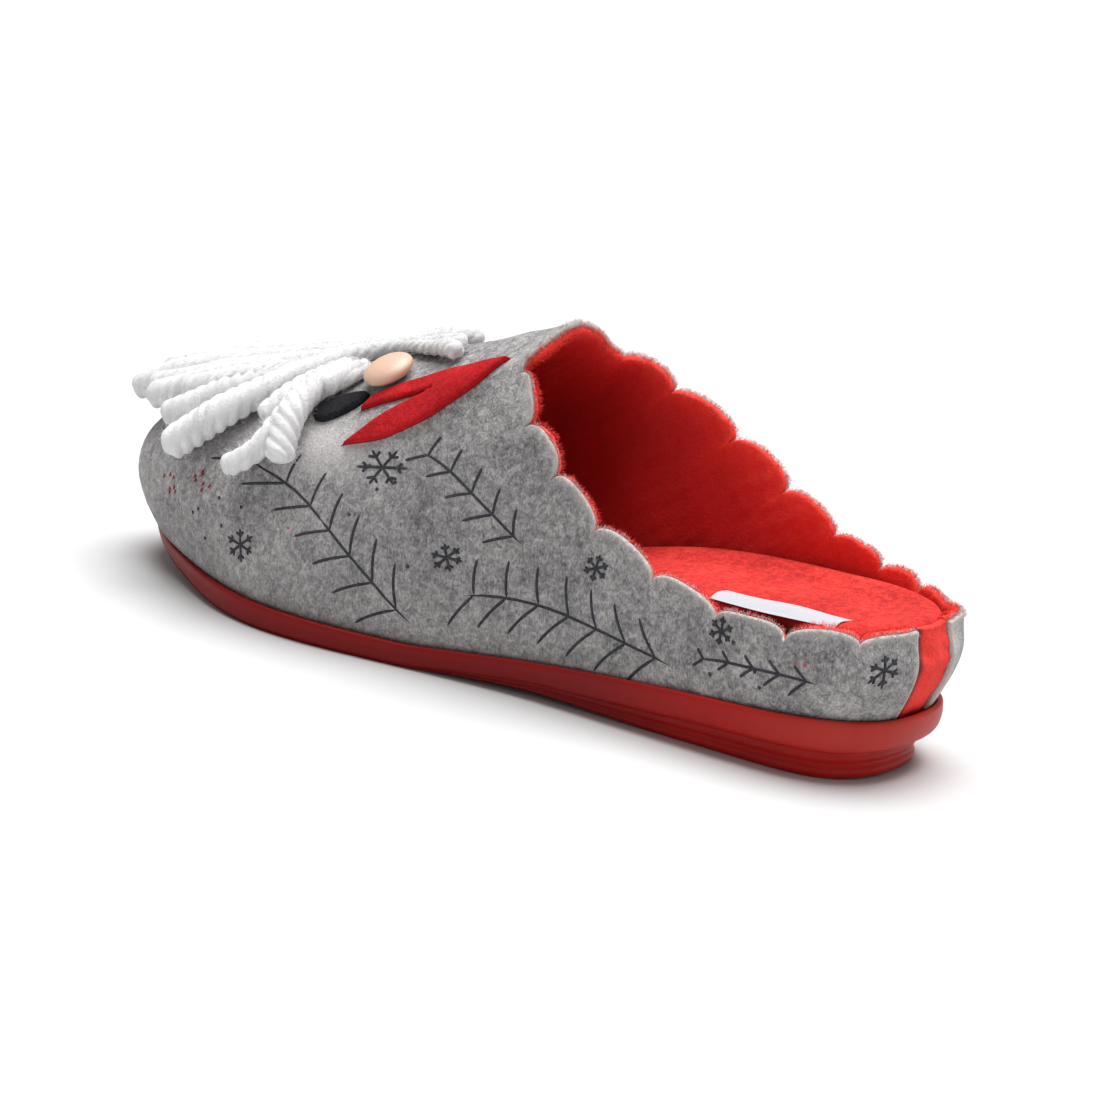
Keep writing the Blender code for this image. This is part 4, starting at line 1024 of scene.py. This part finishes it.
def tail_places(count):
    """Straight across between the two edges; the end is drawn back to the crotch in the middle."""
    along, across = np.linspace(0, 1, count), np.linspace(0, 1, count)[None, :, None]
    upper, lower = [trim_edge(points, along)[:, None] for points in (TAIL_UPPER_EDGE, TAIL_LOWER_EDGE)]
    pull = (TAIL_CROTCH - (upper[-1, 0] + lower[-1, 0]) / 2) * (1 - np.abs(2 * across - 1))
    return upper * (1 - across) + lower * across + pull * (along ** 2)[:, None, None]


def patch_places(count):
    """A square grid drawn out into an ellipse on the wall."""
    u, v = np.meshgrid(np.linspace(-1, 1, count), np.linspace(-1, 1, count), indexing="ij")
    a, b = u * np.sqrt(1 - v * v / 2), v * np.sqrt(1 - u * u / 2)
    return np.stack([PATCH_MIDDLE[k] + a * PATCH_LONG[k] + b * PATCH_SHORT[k] for k in range(2)], axis=-1)


def trim_skin(places):
    """Lift = thickness times a quarter circle of the distance from the border; the back lies on the felt.
    Also gives a mark that grows towards the border."""
    row, climb = np.moveaxis(places, -1, 0)
    flat = wall_face(row, climb)
    border = np.concatenate([flat[0], flat[-1], flat[:, 0], flat[:, -1]])
    near = np.sqrt((((flat[:, :, None, :] - border) ** 2).sum(axis=-1)).min(axis=-1))
    rim = 1 - np.clip(near / TRIM_ROUND, 0, 1)
    lift = GAP * 0.3 + (GAP * 0.7 + TRIM_THICKNESS) * np.sqrt(1 - rim ** 2)
    front, back = on_wall(row, climb, lift), on_wall(row, climb, GAP * 0.3)
    return np.stack([front, back[::-1]]), np.stack([rim, rim[::-1]]) ** 3


# %% Trim pieces
RED_SHADES = ((150, 14, 20), (180, 21, 27), (200, 36, 40), (184, 26, 33))
BLACK_SHADES = ((18, 18, 22), (32, 31, 36), (48, 47, 53), (38, 38, 44))
for name, places, finish, shades, slot, node in (
        ("red_trim", tail_places(60), "red_felt_trim", RED_SHADES, "red_felt", "red_swallowtail"),
        ("black_oval", patch_places(48), "black_felt_trim", BLACK_SHADES, "black_felt", "black_patch")):
    skin, rim = trim_skin(places)
    look = felt_look(finish, shades, sheen=0.0)
    add_piece(name, skin, look, (node,), {"cut": rim * 0.4}, tube=False)

# %% [markdown]
# ## Bead
# A painted wooden bead, flattened, glued on beside the red trim at the root of the fringe. It is a globe
# about the wall's own directions, with a satin paint that lets a faint grain through.

# %% Bead
BEAD_PLACE, BEAD_RADIUS, BEAD_HALF_HEIGHT = (10.04, 0.754), 7.2, 3.0


def bead_skin(count_round, count_up):
    """Ellipsoid from pole to pole: two directions in the wall's face, one outward."""
    row, climb = np.array(BEAD_PLACE[0]), np.array(BEAD_PLACE[1])
    upward, outward = wall_axes(row, climb)[1:]
    upward = unit(upward - outward * (upward @ outward))
    middle = on_wall(row, climb, GAP + BEAD_HALF_HEIGHT)
    tilt, turn = np.meshgrid(np.linspace(-math.pi / 2, math.pi / 2, count_up),
                             np.arange(count_round) * TAU / count_round, indexing="ij")
    flat = np.cos(tilt)[..., None] * spun(turn, np.cross(upward, outward), upward)
    return middle + BEAD_RADIUS * flat + BEAD_HALF_HEIGHT * np.sin(tilt)[..., None] * outward


def bead_look():
    """Two near shades mixed by a drawn out grain and a cloud, under a thin coat."""
    look, at = new_look("beige_painted_wood")
    grain, cloud = at.fibres(0.7, (0.4, 1.2, 0.0), 9.0), at.noise(6.0)
    base = (0.2 + 0.5 * grain + 0.4 * (cloud - 0.5)).mix(colour(218, 184, 162), colour(204, 162, 137))
    return close_look(look, base, 0.45 + 0.15 * (cloud - 0.5), grain, 0.06,
                      {"Coat Weight": 0.15, "Coat Roughness": 0.3})


add_piece("wooden_bead", bead_skin(64, 33), bead_look(), ("bead",))

# %% [markdown]
# ## Yarn fringe
# Thick white yarn, four plies twisted together, fans out from the top of the vamp over the toe. Each
# strand has a middle line on the wall, from its root to its end. The outline of four round plies side by
# side is carried along that line and turns as it goes, so one closed skin shows the twist. Loose wool
# lets light through, so the finish scatters it under the skin; that softens the shade in the grooves.

# %% Yarn paths
# row and climb of root, bend and end, then how far the end floats off the felt, and the radius
STRANDS = np.array([
    (10.47, 0.712, 9.90, 0.632, 9.30, 0.412, 1.4, 3.9),
    (10.46, 0.738, 10.22, 0.700, 9.95, 0.630, 0.4, 2.8),
    (10.58, 0.715, 10.10, 0.640, 9.58, 0.500, 0.2, 3.2),
    (10.78, 0.720, 9.35, 0.520, 9.66, 0.330, 0.2, 3.0),
    (10.84, 0.750, 9.92, 0.500, 10.16, 0.300, 0.4, 4.4),
    (10.88, 0.770, 10.25, 0.540, 10.44, 0.362, 2.0, 3.5),
    (10.90, 0.785, 10.42, 0.560, 10.60, 0.345, 4.5, 3.7),
    (10.94, 0.790, 10.62, 0.560, 10.82, 0.312, 5.4, 3.9),
    (10.98, 0.795, 10.85, 0.560, 10.98, 0.325, 5.4, 3.8),
    (11.03, 0.795, 11.08, 0.560, 11.16, 0.340, 5.2, 3.8),
    (11.08, 0.790, 11.30, 0.560, 11.36, 0.350, 4.4, 3.7),
    (11.12, 0.780, 11.55, 0.550, 11.58, 0.365, 3.0, 3.6),
    (11.16, 0.765, 11.80, 0.540, 11.85, 0.340, 1.0, 4.0),
    (11.20, 0.745, 12.10, 0.540, 12.15, 0.370, 0.4, 3.9),
    (11.22, 0.730, 12.40, 0.580, 12.55, 0.430, 0.4, 3.7),
    (10.92, 0.775, 10.40, 0.850, 10.02, 0.868, 0.0, 2.4),
    (10.96, 0.775, 10.62, 0.850, 10.34, 0.874, 0.0, 2.4),
    (11.00, 0.775, 10.86, 0.830, 10.66, 0.850, 0.0, 2.4),
    (11.04, 0.775, 11.08, 0.810, 11.04, 0.826, 0.0, 2.4),
    (11.08, 0.775, 11.34, 0.810, 11.52, 0.822, 0.0, 2.4)])
STRAND_CLEARANCE, STRAND_SWELL, STRAND_END, TWIST_PITCH = 0.6, 0.7, 0.55, 15.0
PLIES, PLY_PLACE, PLY_RADIUS = 4, 0.40, 0.61


def strand_lines(strands, share):
    """Quadratic curve on the wall from root to end with small sways; the end may float off the felt."""
    root, bend, end = strands[:, None, 0:2], strands[:, None, 2:4], strands[:, None, 4:6]
    row, climb = np.moveaxis(quadratic(share[None, :, None], root, bend, end), -1, 0)
    sway = 0.02 * np.sin(share * 6.0 + np.arange(len(strands))[:, None] * 2.4) * share
    grown = np.clip(share * STRAND_SWELL + STRAND_END, 0.0, 1.0) * strands[:, 7:]
    lift = grown + STRAND_CLEARANCE + strands[:, 6:7] * share ** 1.5
    return on_wall(row + sway, climb + 0.3 * sway, lift), grown


def strand_tubes(lines, grown, count_round):
    """Section of lobes, each the outer arc of a ply, times the strand's radius; it turns once in a pitch,
    and a quarter circle closes it at both ends. Also gives the run along each strand."""
    tangent = unit(np.gradient(lines, axis=1))
    side = unit(np.cross(tangent, [0.0, 0.0, 1.0]))
    over = np.cross(side, tangent)
    run = np.cumsum(np.linalg.norm(np.diff(lines, axis=1, prepend=lines[:, :1]), axis=-1), axis=1)
    end = np.minimum(run / 1.5, run[:, -1:] - run) / grown
    close = np.sqrt(np.clip(1 - np.clip(1 - end / 0.7, 0, 1) ** 2, 0.0, 1.0))
    turn = np.arange(count_round) * TAU / count_round
    off_ply = (turn + math.pi / PLIES) % (TAU / PLIES) - math.pi / PLIES
    reach = PLY_PLACE * np.cos(off_ply) + np.sqrt(PLY_RADIUS ** 2 - (PLY_PLACE * np.sin(off_ply)) ** 2)
    angle = turn + (run * TAU / TWIST_PITCH + np.arange(len(lines))[:, None])[..., None]
    out = spun(angle, side[:, :, None], over[:, :, None])
    return lines[:, :, None] + out * (reach * (grown * close)[..., None])[..., None], run


# %% [markdown]
# The table holds the main strands. Six more fill the fan between its front ones, and two lie beside the
# bead. Each skin stores the run along its strand and the place round it, so that the fine hairs of the
# finish follow the twist.

# %% Yarn look and piece
YARN_STEPS, YARN_ROUND, YARN_PLUMP = 104, 28, 1.1
BETWEEN_FLOAT, BETWEEN_RADIUS = 0.8, 3.3
BESIDE = ((10.72, 0.725, 10.08, 0.598, 9.92, 0.500, 0.2, 2.8),
          (10.40, 0.742, 10.02, 0.690, 9.93, 0.560, 0.0, 2.2))


def yarn_look(name, scatter):
    """Near white by hairs along the twist, fuzz and a cloud; scatter is the light let in under the skin."""
    look, at = new_look(name)
    lay = at.mark("lay")
    chart = at.node("CombineXYZ", {"X": at.mark("turn") * 9.0 + lay * 1.3, "Y": lay * 0.35, "Z": 0.0})
    hairs = at.node("TexNoise", {"Vector": chart, "Scale": 1.0, "Detail": 3.0, "Roughness": 0.6})
    fuzz, cloud = at.noise(0.7), at.noise(9.0)
    shade = 0.5 + 0.8 * (hairs - 0.5) + 0.5 * (fuzz - 0.5) + 0.4 * (cloud - 0.5)
    base = shade.ramp((0.2, colour(249, 248, 249)), (0.55, colour(254, 253, 254)),
                      (0.85, colour(255, 255, 255)))
    return close_look(look, base, 0.9, hairs + 0.9 * fuzz, 0.6, {
        "Sheen Weight": 0.6, "Sheen Roughness": 0.5, "Subsurface Weight": scatter,
        "Subsurface Radius": (1.0, 1.0, 1.0), "Subsurface Scale": MM})


WHITE_YARN, LOOSE_WOOL = yarn_look("white_wool_yarn", 0.3), yarn_look("loose_wool", 0.0)
between = (STRANDS[5:11] + STRANDS[6:12]) / 2
between[:, 5] += 0.05 + 0.03 * np.cos(np.arange(len(between)) * 2.1)
between[:, 6] += BETWEEN_FLOAT
between[:, 7] = BETWEEN_RADIUS
all_strands = np.concatenate([STRANDS, between, BESIDE])
all_strands[:, 7] *= YARN_PLUMP
even = np.linspace(0.0, 1.0, YARN_STEPS)
lines, grown = strand_lines(all_strands, 0.65 * even + 0.35 * (1 - np.cos(math.pi * even)) / 2)
tubes, run = strand_tubes(lines, grown, YARN_ROUND)
turn = np.abs(np.arange(YARN_ROUND) - YARN_ROUND / 2) * 8 / YARN_ROUND
add_piece("yarn_strands", tubes, WHITE_YARN, ("yarn_fringe",),
          {"lay": run[..., None], "turn": turn})
print("strands are", round(float(run[:, -1].min())), "to", round(float(run[:, -1].max())), "mm long")

# %% [markdown]
# ## Fuzz
# Cut felt, brushed fleece and wool yarn end in loose fibres, and their soft outline is what the eye knows
# them by. A fibre is a bent needle of three sides: a point at the root, a ring halfway and a point at the
# tip. The roots and directions come from the surfaces above at fixed chance places.

# %% Needles
NEEDLE_THICKNESS = 0.05


def needles(roots, directions, lengths, seed):
    """A ring of three points halfway, bent to one side; at the root and the tip the points meet."""
    chance = np.random.default_rng(seed)
    directions = unit(directions)
    side = unit(np.cross(directions, chance.normal(size=directions.shape)))
    over = np.cross(directions, side)
    ring = spun(np.arange(3) * TAU / 3, side[:, None], over[:, None]) * NEEDLE_THICKNESS
    step = directions * lengths[:, None]
    bend = side * (lengths * chance.uniform(0.1, 0.6, len(lengths)))[:, None]
    half, tip = roots + 0.55 * step + 0.25 * bend, roots + step + bend
    return np.stack([roots[:, None] + 0 * ring, half[:, None] + ring, tip[:, None] + 0 * ring], axis=1)


def rim_needles(count, lift, thickness, crown, rise, length, seed):
    """Needles on the half circle over an edge, pointing away from its middle, ruffled by chance."""
    chance = np.random.default_rng(seed)
    rows, turn = chance.uniform(FIRST_ROW, FINAL_ROW, count), chance.uniform(0.0, math.pi, count)
    top = collar_climb(rows)
    upward, outward = wall_axes(rows, top)[1:]
    climb = top + (rise(rows) - crown + crown * np.sin(turn)) / np.linalg.norm(upward, axis=1)
    roots = on_wall(rows, climb, lift - thickness * (1 - np.cos(turn)) / 2)
    directions = spun(turn, outward, unit(upward)) + chance.normal(size=(count, 3)) * 0.5
    return needles(roots, directions, length * chance.uniform(0.4, 1.0, count), seed + 1)


def skin_needles(points, normals, count, length, ruffle, seed):
    """Needles at chance points of a skin, along its normals, ruffled by chance."""
    chance = np.random.default_rng(seed)
    chosen = chance.integers(0, len(points), count)
    directions = normals[chosen] + chance.normal(size=(count, 3)) * ruffle
    return needles(points[chosen], directions, length * chance.uniform(0.4, 1.0, count), seed + 1)


# %% Fuzz pieces
INSIDE_ENDS = slice(4, -4)
yarn_points = tubes[:, INSIDE_ENDS].reshape(-1, 3)
yarn_normals = unit((tubes - tubes.mean(axis=2, keepdims=True))[:, INSIDE_ENDS].reshape(-1, 3))
yarn_needles = skin_needles(yarn_points, yarn_normals, 9000, 2.4, 0.9, 35)
for name, grids, look, slot in (
        ("felt_fuzz", rim_needles(7000, *FELT_EDGE, 1.5, 31), GREY_FELT, "grey_felt"),
        ("lining_fuzz", rim_needles(9000, *LINING_EDGE, 2.0, 33), LINING_RED, "red_footbed"),
        ("yarn_fuzz", yarn_needles, LOOSE_WOOL, "white_yarn")):
    # On the lining's fuzz the mark gives the rim's painted highlight; on the felt's, its pale core.
    add_piece(name, grids, look, (), {"cut": 0.9})

# %% [markdown]
# ## Drawn lines on the felt
# Fine dark lines are printed on the sides. They are drawn here as common winter motifs: fir twigs, six
# armed snow stars, dots and red berries. A stroke is a quadratic curve in millimetres; it is laid on the
# wall round a place by the wall's own steps, and a flat section of four points is carried along it as a
# film of ink.

# %% Strokes
FILM_LIFT, FILM_HEIGHT = 0.06, 0.08


def twig(length, pairs):
    """A bowed stem and pairs of needles that shorten towards its tip; a stroke is start, middle and end."""
    at = np.linspace(0.08, 0.96, pairs)
    root = np.stack([at * length, 0.2 * length * at * (1 - at)], axis=1)
    reach = (0.19 - 0.09 * at)[:, None] * length
    pair = [np.stack([root, root + reach * [0.45, side * 0.42], root + reach * [0.72, side * 0.8]], axis=1)
            for side in (1, -1)]
    return np.concatenate([[[(0.0, 0.0), (length / 2, 0.1 * length), (length, 0.0)]], *pair])


def snow_star(radius):
    """Six arms from the middle, each with two ticks at a slant."""
    turn = np.arange(6) * TAU / 6
    arm, *ways = [spun(turn + slant, *np.eye(2)) * radius for slant in (0.0, 0.9, -0.9)]
    ticks = [np.stack([arm * 0.58 + way * share for share in (0.0, 0.16, 0.32)], axis=1) for way in ways]
    return np.concatenate([np.stack([arm * 0.0, arm * 0.5, arm], axis=1), *ticks])


def dots(count, reach, seed):
    """Short strokes at chance places round the middle."""
    place = np.random.default_rng(seed).uniform(-reach, reach, (count, 2)) * [1.0, 0.6]
    return np.stack([place, place + [0.5, 0.2], place + [1.0, 0.1]], axis=1)


def laid(strokes, row, climb, turn):
    """Millimetres turned, then divided by the lengths of the wall's steps at that place."""
    around, upward, _ = wall_axes(np.array(row), np.array(climb))
    x, y = strokes[..., 0], strokes[..., 1]
    across = (x * math.cos(turn) - y * math.sin(turn)) / np.linalg.norm(around)
    rise = (x * math.sin(turn) + y * math.cos(turn)) / np.linalg.norm(upward)
    return np.stack([row + across, climb + rise], axis=-1)


def ink_film(strokes, width):
    """Flat section of four points along each stroke, wide in the middle and pointed at both ends."""
    p = np.linspace(0.0, 1.0, 14)[None, :, None]
    places = quadratic(p, strokes[:, None, 0], strokes[:, None, 1], strokes[:, None, 2])
    row, climb = np.moveaxis(places, -1, 0)
    line, outward = on_wall(row, climb, FILM_LIFT), wall_axes(row, climb)[2]
    side = np.cross(outward, unit(np.gradient(line, axis=1)))
    half = np.sqrt(np.clip(1 - (2 * p - 1) ** 6, 0.0, 1.0))
    edge, film = side * half * width / 2, outward * half * FILM_HEIGHT
    return np.stack([line + edge, line + film, line - edge, line - film], axis=2)


# %% Ink look and pieces
# twigs: row, climb, turn, length, pairs of needles; stars: row, climb, radius
# dots: row, climb, count, reach; berries: row, climb
TWIGS = ((3.90, 0.22, 0.02, 60.0, 7), (6.95, 0.08, 0.34, 70.0, 7), (6.15, 0.62, 0.06, 42.0, 5),
         (1.95, 0.32, 0.04, 30.0, 5), (18.1, 0.22, 3.0, 70.0, 8), (15.2, 0.10, 2.75, 68.0, 7),
         (19.9, 0.36, 3.05, 32.0, 5))
STARS = ((8.42, 0.55, 6.5), (3.35, 0.74, 4.0), (1.05, 0.50, 4.5), (9.30, 0.13, 5.0), (5.20, 0.74, 4.0),
         (6.85, 0.40, 4.5), (14.2, 0.52, 7.0), (18.9, 0.66, 4.5), (16.4, 0.60, 6.0))
DOTS = ((8.0, 0.42, 5, 18.0), (9.6, 0.17, 6, 12.0), (3.0, 0.50, 4, 12.0), (16.0, 0.4, 8, 24.0))
BERRIES = ((10.12, 0.19), (9.82, 0.25), (11.6, 0.17))
BERRY_SEED = 50


def ink_look(name, ink, worn):
    """Ink that is worn to a paler shade in patches."""
    look, at = new_look(name)
    web = at.noise(0.8, 3.0, 0.7)
    return close_look(look, (web.between(0.45, 0.75) * 0.6).mix(ink, worn), 0.9, web, 0.3)


INK = ink_look("dark_ink", colour(46, 46, 54), colour(98, 97, 100))
RED_INK = ink_look("red_ink", colour(150, 34, 42), colour(150, 110, 110))
drawn = [laid(twig(length, pairs), row, climb, turn) for row, climb, turn, length, pairs in TWIGS]
drawn += [laid(snow_star(radius), row, climb, 0.3 + row) for row, climb, radius in STARS]
dotted = [laid(dots(count, reach, k), row, climb, 0.0) for k, (row, climb, count, reach) in enumerate(DOTS)]
berries = [laid(dots(7, 4.5, BERRY_SEED + k), row, climb, 0.4) for k, (row, climb) in enumerate(BERRIES)]
for name, strokes, width, look in (("drawn_lines", drawn, 0.8, INK), ("drawn_dots", dotted, 1.0, INK),
                                   ("drawn_berries", berries, 1.5, RED_INK)):
    add_piece(name, ink_film(np.concatenate(strokes), width), look)

# %% [markdown]
# ## Camera
# The view is from behind the outer side of the heel, a little above, with a long lens and a slight roll.
# The camera's axes are worked out from those angles, and its aim is the middle of the slipper in the
# picture.

# %% Camera
TURN, RISE, ROLL = math.radians(33.0), math.radians(15.2), math.radians(6.8)
CAMERA_TARGET, CAMERA_DISTANCE, SENSOR = np.array([0.0, 125.0, 35.0]), 1114.0, 36.0
PICTURE_SIDE, FOCAL_PIXELS, AIM_PIXELS = 1100.0, 4108.0, (15.0, -18.0)


def facing(back, upright):
    """Right, up and back of a thing that looks away from back; right is square to the upright."""
    right = unit(np.cross(upright, back))
    return right, np.cross(back, right), back


def camera_axes(back):
    """Axes of a view with that back, rolled, then turned by the small aim offset."""
    right, up, _ = facing(back, [0.0, 0.0, 1.0])
    right, up = (math.cos(ROLL) * right + math.sin(ROLL) * up, math.cos(ROLL) * up - math.sin(ROLL) * right)
    aim = back - (AIM_PIXELS[0] * right + AIM_PIXELS[1] * up) / FOCAL_PIXELS
    return facing(unit(aim), up)


back = np.array([-math.cos(TURN) * math.cos(RISE), -math.sin(TURN) * math.cos(RISE), math.sin(RISE)])
lens = bpy.data.cameras.new("photo_view")
lens.sensor_width, lens.lens = SENSOR, SENSOR * FOCAL_PIXELS / PICTURE_SIDE
lens.clip_start, lens.clip_end = 0.05, 200.0
camera_place = to_part(CAMERA_TARGET + back * CAMERA_DISTANCE)
bpy.context.scene.camera = put("photo_view", lens, camera_axes(back), camera_place)
print("lens", round(lens.lens, 1), "mm, camera at", camera_place.round(3))

# %% [markdown]
# ## Floor and light
# A plain pale floor that runs out of sight, an even sky for the soft shade and one broad light from above,
# a little from the inner side, so that the vamp's top is bright and the sides lie in open shade as in a
# studio tent. The light comes from far away, so the floor is as bright at the back as in front.

# %% Floor, sky and lamp
FLOOR_REACH, FLOOR_GREY = 40.0, (0.60, 0.60, 0.60, 1.0)
SKY_WHITE, SKY_STRENGTH = (1.0, 1.0, 1.0, 1.0), 0.36
LAMP_TOWARD, LAMP_STRENGTH, LAMP_SPREAD = (0.17, 0.06, 1.0), 4.9, 0.9

corners = [(x * FLOOR_REACH, y * FLOOR_REACH, 0.0) for x, y in ((-1, -1), (1, -1), (1, 1), (-1, 1))]
floor_mesh = bpy.data.meshes.new("floor")
floor_mesh.from_pydata(corners, [], [(0, 1, 2, 3)])
floor_mesh.materials.append(close_look(new_look("studio_floor")[0], FLOOR_GREY, 0.9))
floor = put("floor", floor_mesh)
world = bpy.data.worlds.new("studio_sky")
world.use_nodes = True
sky = world.node_tree.nodes["Background"].inputs
sky["Color"].default_value, sky["Strength"].default_value = SKY_WHITE, SKY_STRENGTH
bpy.context.scene.world = world
lamp = bpy.data.lights.new("overhead", "SUN")
lamp.energy, lamp.angle = LAMP_STRENGTH, LAMP_SPREAD
toward = unit(np.array(LAMP_TOWARD))
put("overhead", lamp, facing(toward, [0.0, 1.0, 0.0]), toward * 2.0)
bpy.context.scene.view_settings.view_transform = "Standard"
